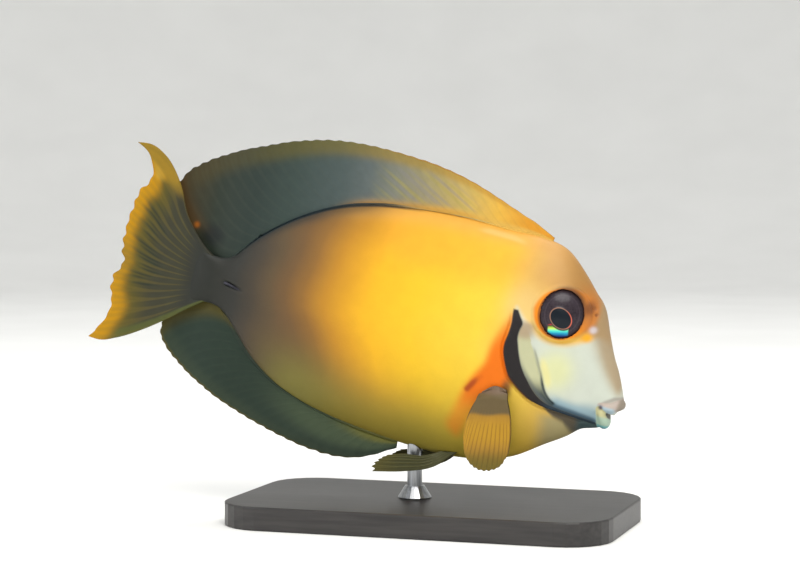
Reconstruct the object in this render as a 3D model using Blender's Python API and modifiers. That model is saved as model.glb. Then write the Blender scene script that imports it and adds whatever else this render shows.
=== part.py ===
"""A young chocolate surgeonfish, life size, held nose-down in a gentle turn by a display stand.

The fish is drawn in its own frame, in millimetres: +X runs forward along the body axis from the
root of the tail fin, +Z is up and +Y is the fish's left. FISH_PITCH and the stand then place it.
"""
import math

import bmesh
import bpy
import numpy as np
from mathutils import Matrix, Vector

MM = 0.001
GAP = 0.3

# Driving sizes of the fish
SNOUT_X = 92.0
SNOUT_ROUND = 3.4
FISH_PITCH = math.radians(14.0)
TAIL_BEND = math.radians(12.0)
BEND_START = 44.0

# Body outline: (distance forward of the tail root, height), back and belly without the fins
BACK = [(-2, 5.2), (0, 5.3), (2, 6.2), (5, 10.1), (10, 14.9), (16, 19.2), (22, 22.3), (30, 24.8),
        (40, 26.2), (50, 26.9), (60, 26.9), (68, 27.0), (73, 25.7), (77, 22.5), (80.5, 19.0),
        (83.7, 15.5), (85.6, 11.1), (87.6, 6.9), (89.6, 3.7), (91.3, 1.3), (92, 0.4)]
BELLY = [(-2, -5.1), (0, -5.2), (2, -6.0), (5, -8.8), (10, -13.9), (16, -18.0), (22, -20.4), (30, -22.2),
         (40, -23.2), (50, -23.5), (58, -23.2), (66, -21.6), (72, -19.2), (78, -14.8), (82, -11.9),
         (84.6, -9.6), (86.5, -8.9), (88.2, -8.2), (89.6, -6.9), (92, -3.6)]
# Height of the widest level, half width there, and how sharply the section closes at back and belly
WIDEST = [(-2, 0), (10, 0.4), (30, 1.6), (50, 2.2), (62, 3.5), (70, 6.5), (76, 8.8), (81, 6.0),
          (86, 0.5), (89, -2.2), (92, -2.6)]
HALF_WIDTH = [(-2, 1.7), (0, 1.9), (5, 2.7), (15, 4.5), (30, 6.7), (45, 8.1), (58, 8.5), (68, 8.0),
              (76, 6.7), (82, 5.0), (86, 3.7), (89, 2.9), (92, 2.3)]
CLOSING = [(-2, 1.0), (20, 1.22), (50, 1.3), (64, 1.15), (74, 0.95), (92, 0.95)]

# Nodes of the body are parted here
STOCK_FRONT = 9.0
HEAD_JOINT = [(71.5, 33), (69.6, 27.5), (67.6, 20), (67.2, 12), (67.4, 6), (67.9, 2), (69.4, -1.4),
              (72.2, -4.0), (76, -5.8), (80, -7.2), (83.4, -9.0), (84.9, -13)]
GILL_REAR = [(67.2, 12.9), (65.9, 9.4), (65.6, 5.6), (65.8, 2.3), (66.9, -0.6), (68.9, -3.0), (71.9, -5.0),
             (75.6, -6.6), (79.4, -7.9), (82.6, -8.7), (84.3, -9.0)]
GILL_FRONT = [(68.6, 12.6), (70.0, 9.3), (71.2, 6.0), (72.6, 3.4), (74.1, 1.0), (75.6, -1.3), (77.5, -3.4),
              (79.8, -5.2), (82.0, -6.5), (83.6, -7.4), (84.7, -8.1)]
GILL_RAISE, GILL_THICK = 0.55, 1.2
# How far the cutters reach past what they cut
GILL_CLEAR, CLEAR = 1.4, 20.0
BEYOND_SNOUT, BEHIND_HEAD = 130.0, 30.0

# Eye, nostrils and lips
EYE_X, EYE_Z = 76.1, 13.3
EYE_RADIUS, EYE_HALF_DEPTH, EYE_SINK = 5.4, 2.5, 1.0
ORBIT_RADIUS, ORBIT_HALF_DEPTH = 6.2, 2.3
NOSTRILS = [(81.8, 15.7, 0.45), (82.5, 14.6, 0.36)]
NOSTRIL_DEPTH = 0.6
# Lips from the left corner of the mouth to its middle: x, y, z and radius
UPPER_LIP = [(87.8, 2.8, -3.3, 0.35), (88.5, 2.75, -3.5, 0.65), (89.8, 2.2, -3.5, 0.95),
             (91.0, 1.2, -2.8, 1.1), (91.3, 0, -2.5, 1.15)]
LOWER_LIP = [(87.7, 2.8, -4.1, 0.35), (88.2, 2.7, -4.8, 0.65), (88.7, 2.1, -6.0, 0.9),
             (88.95, 1.1, -6.9, 1.1), (89.0, 0, -7.2, 1.15)]
# The gape: its middle, how far it slants down to the front, and its half sizes across, along and open
MOUTH_SLIT, MOUTH_SLANT = (90.6, 0, -5.75), math.radians(38.0)
MOUTH_SLIT_SIZE = (3.4, 3.3, 0.95)

# Spine of the tail stock, folded forward in its slot, with its point a little lower
SPINE_X, SPINE_Z, SPINE_LENGTH, SPINE_RADIUS = 3.4, -0.1, 4.0, 0.55
SPINE_SLANT = math.radians(12.0)
SPINE_POINT, SPINE_FLATNESS = 0.08, 0.8
SLOT_HALF_LENGTH, SLOT_HALF_WIDTH = 3.05, 1.15

# Fin outlines, from front to rear, and from root to tip where a side is named
DORSAL_ROOT_X = (69.2, 2.6)
DORSAL_EDGE = [(69.3, 27.55), (65.5, 29.3), (61, 30.8), (56, 32.5), (51, 34.1), (46, 35.3), (40, 36.2),
               (33, 36.6), (25, 36.6), (18, 35.9), (10, 33.8), (3, 31.0), (-4, 27.8), (-9.4, 24.6),
               (-12.8, 21.6), (-14.4, 18.6)]
DORSAL_REAR = [(2.6, 0), (0.4, 5.95), (-2.8, 6.1), (-6.4, 7.5), (-10.0, 10.4), (-12.9, 14.4), (-14.4, 18.6)]
ANAL_ROOT_X = (46.5, 2.6)
ANAL_EDGE = [(46.6, -24.9), (43, -27.2), (38.5, -29.4), (33, -30.6), (26, -30.4), (19.5, -29.3),
             (13, -27.7), (6, -25.4), (0.4, -23.1), (-4.6, -20.7), (-9.0, -17.6), (-11.2, -14.6),
             (-11.4, -12.2)]
ANAL_REAR = [(2.6, 0), (0.4, -5.85), (-3.0, -5.95), (-6.8, -7.2), (-9.9, -9.6), (-11.4, -12.2)]
TAIL_ROOT_X = -2.0
TAIL_POLE = (5.5, 0.0)
TAIL_TOP = [(-2.0, 4.9), (-4.6, 6.6), (-7.2, 9.0), (-9.9, 12.4), (-12.3, 17.4), (-14.6, 21.0), (-18, 24.2),
            (-21.4, 25.5), (-24.2, 25.2)]
TAIL_LOW = [(-2.0, -4.9), (-5.0, -7.1), (-9.4, -10.8), (-14.6, -14.7), (-19.5, -17.6), (-23.0, -18.9),
            (-25.6, -18.8)]
TAIL_EDGE = [(-25.6, -18.8), (-24.3, -16.7), (-22.8, -13.8), (-22.3, -10.6), (-23.2, -7.2), (-23.2, -4.2),
             (-21.8, -1.4), (-22.7, 2.2), (-22.7, 6.4), (-22.3, 10.8), (-21.5, 15.2), (-19.6, 18.6),
             (-20.4, 22.2), (-22.0, 24.2), (-24.2, 25.2)]
PECTORAL_ROOT = [(69.2, -5.6), (66.4, -5.5), (63.8, -7.3)]
PECTORAL_LEAD = [(69.2, -5.6), (71.2, -9.5), (72.5, -13.5), (73.0, -17.3)]
PECTORAL_EDGE = [(73.0, -17.3), (72.0, -20.2), (69.6, -21.9), (67.0, -22.0), (64.5, -20.3), (62.9, -16.8)]
PECTORAL_TRAIL = [(63.8, -7.3), (62.8, -10.4), (62.5, -13.6), (62.9, -16.8)]
PECTORAL_HINGE, LEFT_SWEEP = (66.4, -6.2), math.radians(48.0)
PECTORAL_SPREAD, PECTORAL_CUP = 1.6, 0.5
PELVIC_ROOT_X = (60.0, 57.2)
PELVIC_LEAD = [(56.6, -25.6), (50.6, -28.3), (44.0, -30.2)]
PELVIC_EDGE = [(44.0, -30.2), (43.6, -29.2), (44.4, -27.6), (46.2, -25.9)]
PELVIC_TRAIL = [(53.6, -24.0), (50.0, -24.6), (46.2, -25.9)]
PELVIC_RAISE, PELVIC_CLEAR, PELVIC_SPREAD = 0.9, 1.5, 0.9

# Fin build: number of rays, and of rows of cells from root to edge
DORSAL_RAYS, ANAL_RAYS, TAIL_RAYS, PECTORAL_RAYS, PELVIC_RAYS = 33, 27, 16, 15, 6
DORSAL_ROWS, ANAL_ROWS, TAIL_ROWS, PAIRED_ROWS = 6, 5, 10, 7
# Thickness of membrane, ray and root, and the share of a ray's height lost on the way to its tip
MEMBRANE, RAY_THICK, ROOT_THICK, TAIL_ROOT_THICK, PELVIC_ROOT_THICK = 0.5, 1.0, 1.5, 2.8, 1.2
RAY_FADE = 0.75
# Share of a fin's height over which its root thins out
ROOT_SHARE, TAIL_ROOT_SHARE = 0.18, 0.3
# Power that leans the rays back, depth of the notches between them and how fast these die out inward
RAY_LEAN, FIN_SCALLOP, SCALLOP_POWER = 0.8, 0.25, 6
TAIL_ROOT_CURVE = 0.25
# The rear lobes of dorsal and anal fin stand aside of the tail fin: how far, over what length
LOBE_LAG, LOBE_AHEAD, LOBE_LENGTH, LOBE_CURVE = 2.5, 3.0, 14.0, 1.2

# Display stand
BASE_LENGTH, BASE_WIDTH, BASE_THICK, BASE_CORNER, BASE_EDGE = 84.0, 46.0, 5.0, 10.0, 0.8
BASE_AHEAD = 49.0
FIN_CLEARANCE = 6.0
LOWEST_FIN = (44.0, -30.2)
ROD_X, ROD_RADIUS, ROD_INTO_BELLY = 50.5, 1.6, 3.0
COLLAR_RADIUS, COLLAR_TOP_RADIUS, COLLAR_HEIGHT = 3.6, 2.1, 2.4

# Fineness of the meshes: corners around the body, its stations, and cells of a gill cover
AROUND = 36
HEAD_FROM, TRUNK_BELLY, TRUNK_TO = 56.0, 60.0, 86.0
HEAD_STATIONS, TRUNK_STATIONS, TRUNK_FRONT_STATIONS, STOCK_STATIONS = 24, 17, 9, 6
BELLY_ROOM, BELLY_ROOM_STATIONS = (30.0, 70.0), 20
GILL_CELLS, GILL_ROWS = 18, 5
END_DIRECTION = 0.03
SHARP_ANGLE = math.radians(40.0)


def smooth(points):
    """The function through the points: one cubic for each pair, with slopes from their neighbours."""
    xs, ys = np.array(points, float).T
    slopes = np.gradient(ys, xs)

    def value(x):
        i = int(np.clip(np.searchsorted(xs, x, side="right") - 1, 0, len(xs) - 2))
        step = xs[i + 1] - xs[i]
        t = (min(max(x, xs[0]), xs[-1]) - xs[i]) / step
        rise = ys[i] + (ys[i + 1] - ys[i]) * t * t * (3 - 2 * t)
        return rise + step * t * (1 - t) * (slopes[i] * (1 - t) - slopes[i + 1] * t)

    return value


back, belly, widest = smooth(BACK), smooth(BELLY), smooth(WIDEST)
half_width, closing = smooth(HALF_WIDTH), smooth(CLOSING)


def path(points):
    """The smooth curve through the points, as a function of the share of its length."""
    points = np.array(points, float)
    run = np.concatenate([[0], np.cumsum(np.linalg.norm(np.diff(points, axis=0), axis=1))])
    parts = [smooth(list(zip(run / run[-1], column))) for column in points.T]
    return lambda share: np.array([part(share) for part in parts])


def ease(value):
    value = min(max(value, 0.0), 1.0)
    return value * value * (3 - 2 * value)


def section(x):
    """Top, bottom, widest level and half width of the body at x, with the snout rounded off."""
    end = max(x - (SNOUT_X - SNOUT_ROUND), 0.0) / SNOUT_ROUND
    fullness = math.sqrt(max(1 - end * end, 0.0))
    level = widest(x)
    top = level + (back(x) - level) * fullness
    bottom = level + (belly(x) - level) * fullness
    return top, bottom, level, half_width(x) * fullness


def body_point(x, angle, grow=0.0):
    """A point of the body's surface: angle 0 is the left flank and a quarter turn is the back."""
    top, bottom, level, width = section(x)
    lift, side = math.sin(angle), math.cos(angle)
    height = (top - level if lift > 0 else level - bottom) + grow
    spread = math.copysign(abs(side) ** closing(x), side) if abs(side) > 1e-9 else 0.0
    return Vector((x, (width + grow) * spread, level + height * lift))


def flank(x, z):
    """Half thickness of the body at a place in its side view."""
    top, bottom, level, width = section(x)
    rise = (z - level) / (top - level if z > level else level - bottom)
    return width * max(1 - rise * rise, 0.0) ** (closing(x) / 2)


def flank_normal(x, z, step=0.5):
    slope_x = (flank(x + step, z) - flank(x - step, z)) / (2 * step)
    slope_z = (flank(x, z + step) - flank(x, z - step)) / (2 * step)
    return Vector((-slope_x, 1, -slope_z)).normalized()


def bend(point):
    """The body's turn: straight ahead of BEND_START, and curving to the right behind it."""
    x, y, z = point
    behind = BEND_START - x
    if behind <= 0:
        return Vector(point)
    radius = BEND_START / TAIL_BEND
    turned = min(behind, BEND_START) / radius
    straight = max(behind - BEND_START, 0.0)
    along = Vector((-math.cos(turned), -math.sin(turned), 0))
    across = Vector((-math.sin(turned), math.cos(turned), 0))
    centre = Vector((BEND_START - radius * math.sin(turned), -radius * (1 - math.cos(turned)), z))
    return centre + along * straight + across * y


def mirrored(point, side):
    return Vector((point[0], side * point[1], point[2]))


def make_object(name, mesh_data, collection):
    obj = bpy.data.objects.new(name, mesh_data)
    collection.objects.link(obj)
    return obj


def object_from(name, bm, collection):
    """Writes a bmesh in fish millimetres out as an object in metres."""
    bmesh.ops.scale(bm, vec=(MM, MM, MM), verts=bm.verts)
    mesh = bpy.data.meshes.new(name)
    bm.to_mesh(mesh)
    bm.free()
    return make_object(name, mesh, collection)


def loft(name, stations, collection, grow=0.0):
    """The body's skin between two stations, closed by flat ends."""
    bm = bmesh.new()
    rings = []
    for x in stations:
        ring = [body_point(x, 2 * math.pi * k / AROUND, grow) for k in range(AROUND)]
        rings.append([bm.verts.new(bend(p)) for p in ring])
    for near, far in zip(rings, rings[1:]):
        for k in range(AROUND):
            after = (k + 1) % AROUND
            bm.faces.new((near[k], near[after], far[after], far[k]))
    bm.faces.new(rings[0][::-1])
    bm.faces.new(rings[-1])
    bmesh.ops.recalc_face_normals(bm, faces=bm.faces)
    return object_from(name, bm, collection)


def spaced(first, last, count):
    return [first + (last - first) * k / count for k in range(count + 1)]


def snout_stations(first, count):
    """Stations that close up towards the snout, where the section shrinks fast."""
    reach = SNOUT_X - 0.04 - first
    return [first + reach * math.sin(math.pi / 2 * k / count) for k in range(count + 1)]


def extruded_region(name, outline, half_depth, collection):
    """A flat outline in the side view, extruded to both sides, as a closed mesh."""
    curve = bpy.data.curves.new(name, "CURVE")
    curve.dimensions = "2D"
    curve.fill_mode = "BOTH"
    curve.extrude = half_depth * MM
    spline = curve.splines.new("POLY")
    spline.points.add(len(outline) - 1)
    for point, (x, z) in zip(spline.points, outline):
        point.co = (x * MM, z * MM, 0, 1)
    spline.use_cyclic_u = True
    obj = make_object(name, curve, collection)
    obj.rotation_euler = (math.pi / 2, 0, 0)
    return as_mesh(obj)


def as_mesh(obj):
    """Replaces a curve object by a mesh object of the same shape, with its caps welded on."""
    bpy.context.view_layer.update()
    evaluated = obj.evaluated_get(bpy.context.evaluated_depsgraph_get())
    mesh = bpy.data.meshes.new_from_object(evaluated)
    mesh.transform(obj.matrix_world)
    bm = bmesh.new()
    bm.from_mesh(mesh)
    bmesh.ops.remove_doubles(bm, verts=bm.verts, dist=0.00001)
    bmesh.ops.recalc_face_normals(bm, faces=bm.faces)
    bm.to_mesh(mesh)
    bm.free()
    made = make_object(obj.name + "_mesh", mesh, obj.users_collection[0])
    bpy.data.objects.remove(obj)
    return made


def combine(obj, pieces, operation):
    """Joins the pieces to the object, or cuts them from it, and removes them."""
    group = bpy.data.collections.new("pieces")
    bpy.context.scene.collection.children.link(group)
    for piece in pieces:
        group.objects.link(piece)
    modifier = obj.modifiers.new(operation.lower(), "BOOLEAN")
    modifier.operation = operation
    modifier.operand_type = "COLLECTION"
    modifier.collection = group
    modifier.solver = "EXACT"
    bpy.context.view_layer.update()
    evaluated = obj.evaluated_get(bpy.context.evaluated_depsgraph_get())
    mesh = bpy.data.meshes.new_from_object(evaluated)
    obj.modifiers.remove(modifier)
    obj.data = mesh
    for piece in pieces:
        bpy.data.objects.remove(piece)
    bpy.data.collections.remove(group)
    keep_largest(obj)


def keep_largest(obj):
    """Deletes every closed surface of the object but the one with the most faces."""
    bm = bmesh.new()
    bm.from_mesh(obj.data)
    left = set(bm.faces)
    shells = []
    while left:
        shell, edge_of_shell = set(), [next(iter(left))]
        while edge_of_shell:
            face = edge_of_shell.pop()
            if face in shell:
                continue
            shell.add(face)
            edge_of_shell.extend(f for e in face.edges for f in e.link_faces if f not in shell)
        shells.append(shell)
        left -= shell
    largest = max(shells, key=len)
    bmesh.ops.delete(bm, geom=[f for s in shells if s is not largest for f in s], context="FACES")
    bmesh.ops.delete(bm, geom=[v for v in bm.verts if not v.link_faces], context="VERTS")
    bm.to_mesh(obj.data)
    bm.free()


def ellipsoid(name, centre, radii, normal, segments, rings, collection, roll=0.0):
    """A sphere scaled by radii, turned so that its short axis points along the normal, and rolled on it."""
    bm = bmesh.new()
    bmesh.ops.create_uvsphere(bm, u_segments=segments, v_segments=rings, radius=1)
    turn = Vector(normal).to_track_quat("Z", "Y").to_matrix().to_4x4() @ Matrix.Rotation(roll, 4, "Z")
    bm.transform(Matrix.Translation(centre) @ turn @ Matrix.Diagonal((*radii, 1)))
    return object_from(name, bm, collection)


def lip(name, half, collection):
    """A rounded lip from corner to corner of the mouth. Half lists x, y, z and radius."""
    route = half + [(x, -y, z, r) for x, y, z, r in half[-2::-1]]
    curve = bpy.data.curves.new(name, "CURVE")
    curve.dimensions = "3D"
    curve.bevel_depth = MM
    curve.bevel_resolution = 4
    curve.use_fill_caps = True
    spline = curve.splines.new("POLY")
    guide = path(route)
    shares = spaced(0, 1, 12)
    spline.points.add(len(shares) - 1)
    for point, share in zip(spline.points, shares):
        x, y, z, radius = guide(share)
        point.co = (x * MM, y * MM, z * MM, 1)
        point.radius = radius
    return as_mesh(make_object(name, curve, collection))


def eye_frame(side):
    """Centre and outward direction of an eye."""
    normal = flank_normal(EYE_X, EYE_Z, EYE_RADIUS)
    centre = Vector((EYE_X, flank(EYE_X, EYE_Z), EYE_Z)) - normal * EYE_SINK
    return mirrored(centre, side), mirrored(normal, side)


def grid_sheet(name, across, rows, place, thickness, collection):
    """A sheet of cells, so many across and so many rows out, each corner put in place by a function.

    It is split into triangles before Solidify thickens it, so that both faces are split alike.
    """
    bm = bmesh.new()
    bmesh.ops.create_grid(bm, x_segments=across, y_segments=rows, size=0.5)
    weights = []
    for vert in bm.verts:
        u, v = vert.co.x + 0.5, vert.co.y + 0.5
        vert.co = place(u, v)
        weights.append(thickness(u, v))
    bmesh.ops.triangulate(bm, faces=bm.faces, quad_method="FIXED")
    obj = object_from(name, bm, collection)
    thickest = max(weights)
    group = obj.vertex_groups.new(name="thickness")
    for index, weight in enumerate(weights):
        group.add([index], weight / thickest, "REPLACE")
    solid = obj.modifiers.new("thickness", "SOLIDIFY")
    solid.thickness = thickest * MM
    solid.offset = 0
    solid.vertex_group = group.name
    solid.thickness_vertex_group = 0
    return obj


def patch(root, edge, first, last):
    """The sheet between four curves that meet at their ends, in the fish's side view."""
    def point(u, v):
        across = (1 - v) * root(u) + v * edge(u)
        along = (1 - u) * first(v) + u * last(v)
        corners = ((1 - u) * ((1 - v) * first(0) + v * first(1))
                   + u * ((1 - v) * last(0) + v * last(1)))
        return across + along - corners
    return point


def ray_share(u, rays):
    """1 on the line of a ray and 0 midway between two, with a ray along each end of the fin."""
    return 0.5 + 0.5 * math.cos(2 * math.pi * u * (rays - 1))


def columns(rays):
    """Cells across a fin: a column of corners along each ray, and one midway to the next."""
    return 2 * (rays - 1)


def fin_thickness(rays, root_thick=ROOT_THICK, root_share=ROOT_SHARE):
    """Thickness over a fin: swollen at the root, ridged along each ray, thin at the edge."""
    def thickness(u, v):
        ray = (RAY_THICK - MEMBRANE) * ray_share(u, rays) * (1 - RAY_FADE * v)
        swell = (root_thick - MEMBRANE) * (1 - ease(v / root_share))
        return MEMBRANE + max(ray, swell)
    return thickness


def scalloped(surface, rays, depth=FIN_SCALLOP):
    """The surface with its outer edge pulled in a little between the rays."""
    def point(u, v):
        here, root = surface(u, v), surface(u, 0)
        pull = depth * (1 - ray_share(u, rays)) * v ** SCALLOP_POWER
        return here + (root - here) * (pull / max(np.linalg.norm(here - root), 1.0))
    return point


def fan(pole, root_x, low, top, edge):
    """The sheet between two leading edges, with rays that spread from the pole and keep their share."""
    pole = np.array(pole)

    def polar(points):
        spokes = [pole - np.array(p, float) for p in points]
        return [(float(np.hypot(*s)), math.atan2(-s[1], s[0])) for s in spokes]

    low_angle, top_angle = smooth(polar(low)), smooth(polar(top))
    shares = []
    for radius, angle in polar(edge):
        shares.append(((angle - low_angle(radius)) / (top_angle(radius) - low_angle(radius)), radius))
    reach = smooth(shares)

    def point(u, v):
        start = (pole[0] - root_x) * (1 + TAIL_ROOT_CURVE * (2 * u - 1) ** 2)
        radius = start + (reach(u) - start) * v
        angle = low_angle(radius) + (top_angle(radius) - low_angle(radius)) * u
        spot = pole + radius * np.array([-math.cos(angle), math.sin(angle)])
        spot[0] = min(spot[0], root_x) if v else root_x
        return spot
    return point


def median_fin(name, root_x, edge, rear, profile, sign, rays, rows, collection):
    """The dorsal or the anal fin, set on the midline of the body along its profile."""
    def root(u):
        x = root_x[0] + (root_x[1] - root_x[0]) * u
        return np.array([x, profile(x) + sign * GAP])
    edge_path = path(edge)
    rear_path = path([tuple(root(1))] + rear[1:])
    front_path = path([tuple(root(0)), edge[0]])
    surface = scalloped(patch(root, lambda u: edge_path(u ** RAY_LEAN), front_path, rear_path), rays)

    def place(u, v):
        x, z = surface(u, v)
        flat = bend((x, 0, z))
        flat.y += LOBE_LAG * ease((root_x[1] + LOBE_AHEAD - x) / LOBE_LENGTH) ** LOBE_CURVE
        return flat

    return grid_sheet(name, columns(rays), rows, place, fin_thickness(rays), collection)


def tail_fin(collection):
    surface = fan(TAIL_POLE, TAIL_ROOT_X - GAP, TAIL_LOW, TAIL_TOP, TAIL_EDGE)
    surface = scalloped(surface, TAIL_RAYS, 2 * FIN_SCALLOP)

    def place(u, v):
        x, z = surface(u, v)
        return bend((x, 0, z))

    thickness = fin_thickness(TAIL_RAYS, TAIL_ROOT_THICK, TAIL_ROOT_SHARE)
    return grid_sheet("tail_fin", columns(TAIL_RAYS), TAIL_ROWS, place, thickness, collection)


def pectoral_fin(side, collection):
    """A fan hinged low behind the gill cover. The left one is swept back against the flank."""
    surface = patch(path(PECTORAL_ROOT), path(PECTORAL_EDGE), path(PECTORAL_LEAD), path(PECTORAL_TRAIL))
    surface = scalloped(surface, PECTORAL_RAYS)
    hinge_x, hinge_z = PECTORAL_HINGE
    sweep = Matrix.Rotation(LEFT_SWEEP if side > 0 else 0.0, 3, "Y")

    def place(u, v):
        x, z = surface(u, v)
        on_flank = flank(*surface(u, 0)) + GAP + ROOT_THICK / 2
        out = on_flank + (PECTORAL_SPREAD + PECTORAL_CUP * math.sin(math.pi * u)) * v
        spot = sweep @ Vector((x - hinge_x, 0, z - hinge_z))
        return Vector((hinge_x + spot.x, side * out, hinge_z + spot.z))

    name = "pectoral_fin_left" if side > 0 else "pectoral_fin_right"
    thickness = fin_thickness(PECTORAL_RAYS)
    return grid_sheet(name, columns(PECTORAL_RAYS), PAIRED_ROWS, place, thickness, collection)


def pelvic_fin(side, collection):
    """A narrow fin folded back beside the rod, from a root on the side of the belly."""
    root_points = [(x, belly(x) + PELVIC_RAISE) for x in PELVIC_ROOT_X]
    lead, trail = [root_points[0]] + PELVIC_LEAD, [root_points[1]] + PELVIC_TRAIL
    surface = scalloped(patch(path(root_points), path(PELVIC_EDGE), path(lead), path(trail)), PELVIC_RAYS)

    def place(u, v):
        x, z = surface(u, v)
        root_x, root_z = surface(u, 0)
        on_flank = flank(root_x, root_z) + GAP + PELVIC_ROOT_THICK / 2
        out = on_flank + PELVIC_CLEAR * ease(2.5 * v) + PELVIC_SPREAD * v
        return Vector((x, side * out, z))

    name = "pelvic_fin_left" if side > 0 else "pelvic_fin_right"
    thickness = fin_thickness(PELVIC_RAYS, PELVIC_ROOT_THICK)
    return grid_sheet(name, columns(PELVIC_RAYS), PAIRED_ROWS, place, thickness, collection)


def shifted(points, distance):
    """The outline moved to the right of its own direction by a distance."""
    points = np.array(points, float)
    ways = np.gradient(points, axis=0)
    ways /= np.linalg.norm(ways, axis=1)[:, None]
    return [(x + distance * wz, z - distance * wx) for (x, z), (wx, wz) in zip(points, ways)]


def gill_sheet(name, side, grow, raise_by, thick, collection):
    """The gill cover's plate over the flank, or with grow the room that it needs."""
    rear = path(shifted(GILL_REAR, grow))
    front = path(shifted(GILL_FRONT, -grow))

    def place(u, v):
        spot = (1 - v) * rear(u) + v * front(u)
        if u in (0.0, 1.0):
            onward = rear(1) - rear(1 - END_DIRECTION) if u else rear(0) - rear(END_DIRECTION)
            spot += grow * onward / np.linalg.norm(onward)
        x, z = spot
        lift = raise_by * (1 - ease(v)) if grow == 0 else raise_by
        return Vector((x, side * (flank(x, z) + lift - thick / 2), z))

    return grid_sheet(name, GILL_CELLS, GILL_ROWS, place, lambda u, v: thick, collection)


def head_joint_region(ahead, collection):
    """All that lies behind, or ahead of, the joint of head and trunk, less half of the gap."""
    line = [tuple(path(HEAD_JOINT)(share)) for share in spaced(0, 1, 26)]
    line = shifted(line, GAP / 2 if ahead else -GAP / 2)
    far = BEYOND_SNOUT if ahead else BEHIND_HEAD
    (top_x, top_z), (low_x, low_z) = line[0], line[-1]
    corners = [(low_x, low_z - CLEAR), (far, low_z - CLEAR), (far, top_z + CLEAR), (top_x, top_z + CLEAR)]
    name = "ahead_of_joint" if ahead else "behind_joint"
    return extruded_region(name, line + corners, CLEAR, collection)


def finished(obj):
    """Applies the object's modifiers, so that it can be a cutter."""
    bpy.context.view_layer.update()
    evaluated = obj.evaluated_get(bpy.context.evaluated_depsgraph_get())
    obj.data = bpy.data.meshes.new_from_object(evaluated)
    obj.modifiers.clear()
    return obj


def gill_rooms(collection):
    """The room for both gill covers, open to the outside."""
    thick = GILL_THICK + GAP + GILL_CLEAR
    return [finished(gill_sheet(f"gill_room_{side}", side, GAP, GILL_CLEAR, thick, collection))
            for side in (-1, 1)]


def make_head(collection):
    head = loft("head", snout_stations(HEAD_FROM, HEAD_STATIONS), collection)
    extras = [lip("upper_lip", UPPER_LIP, collection), lip("lower_lip", LOWER_LIP, collection)]
    cuts = [head_joint_region(False, collection)] + gill_rooms(collection)
    for side in (-1, 1):
        centre, normal = eye_frame(side)
        swell = (ORBIT_RADIUS, ORBIT_RADIUS, ORBIT_HALF_DEPTH)
        extras.append(ellipsoid(f"orbit_{side}", centre, swell, normal, 28, 14, collection))
        room = (EYE_RADIUS + GAP, EYE_RADIUS + GAP, EYE_HALF_DEPTH + GAP)
        cuts.append(ellipsoid(f"eye_room_{side}", centre, room, normal, 28, 14, collection))
        for x, z, radius in NOSTRILS:
            pit = Vector((x, side * flank(x, z), z))
            room = (radius, radius, NOSTRIL_DEPTH)
            cuts.append(ellipsoid("pit", pit, room, mirrored(flank_normal(x, z), side), 8, 6, collection))
    across_gape = (math.sin(MOUTH_SLANT), 0, math.cos(MOUTH_SLANT))
    cuts.append(ellipsoid("mouth_slit", MOUTH_SLIT, MOUTH_SLIT_SIZE, across_gape, 16, 8, collection))
    combine(head, extras, "UNION")
    combine(head, cuts, "DIFFERENCE")
    return head


def make_trunk(collection):
    stations = spaced(STOCK_FRONT + GAP / 2, TRUNK_BELLY, TRUNK_STATIONS)
    stations += spaced(TRUNK_BELLY, TRUNK_TO, TRUNK_FRONT_STATIONS)[1:]
    trunk = loft("trunk", stations, collection)
    combine(trunk, [head_joint_region(True, collection)] + gill_rooms(collection), "DIFFERENCE")
    return trunk


def spine_place(side):
    depth = flank(SPINE_X, SPINE_Z)
    return Vector((SPINE_X, side * depth, SPINE_Z))


def make_tail_stock(collection):
    stock = loft("tail_stock", spaced(TAIL_ROOT_X, STOCK_FRONT - GAP / 2, STOCK_STATIONS), collection)
    slots = []
    for side in (-1, 1):
        room = (SLOT_HALF_LENGTH, SLOT_HALF_WIDTH, SLOT_HALF_WIDTH)
        place = bend(spine_place(side))
        slots.append(ellipsoid(f"slot_{side}", place, room, (0, side, 0), 12, 8, collection,
                               side * SPINE_SLANT))
    combine(stock, slots, "DIFFERENCE")
    return stock


def tail_spine(side, collection):
    """The sharp spine that lies forward in its slot, as a flattened cone with its point ahead."""
    bm = bmesh.new()
    bmesh.ops.create_cone(bm, cap_ends=True, segments=10, radius1=SPINE_RADIUS, radius2=SPINE_POINT,
                          depth=SPINE_LENGTH)
    turn = Matrix.Rotation(math.pi / 2 + SPINE_SLANT, 4, "Y")
    place = Matrix.Translation(bend(spine_place(side)))
    bm.transform(place @ Matrix.Diagonal((1, SPINE_FLATNESS, 1, 1)) @ turn)
    name = "tail_spine_left" if side > 0 else "tail_spine_right"
    return object_from(name, bm, collection)


def make_eye(side, collection):
    centre, normal = eye_frame(side)
    name = "eye_left" if side > 0 else "eye_right"
    radii = (EYE_RADIUS, EYE_RADIUS, EYE_HALF_DEPTH)
    return ellipsoid(name, centre, radii, normal, 24, 12, collection)


def in_world(x, z):
    """Where a point of the fish's side view lies in the part's frame, before the stand lifts it."""
    turn = FISH_PITCH
    return (x * math.cos(turn) + z * math.sin(turn), z * math.cos(turn) - x * math.sin(turn))


FISH_AHEAD = -in_world(BASE_AHEAD, 0)[0]
FISH_LIFT = BASE_THICK + FIN_CLEARANCE - in_world(*LOWEST_FIN)[1]


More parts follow.
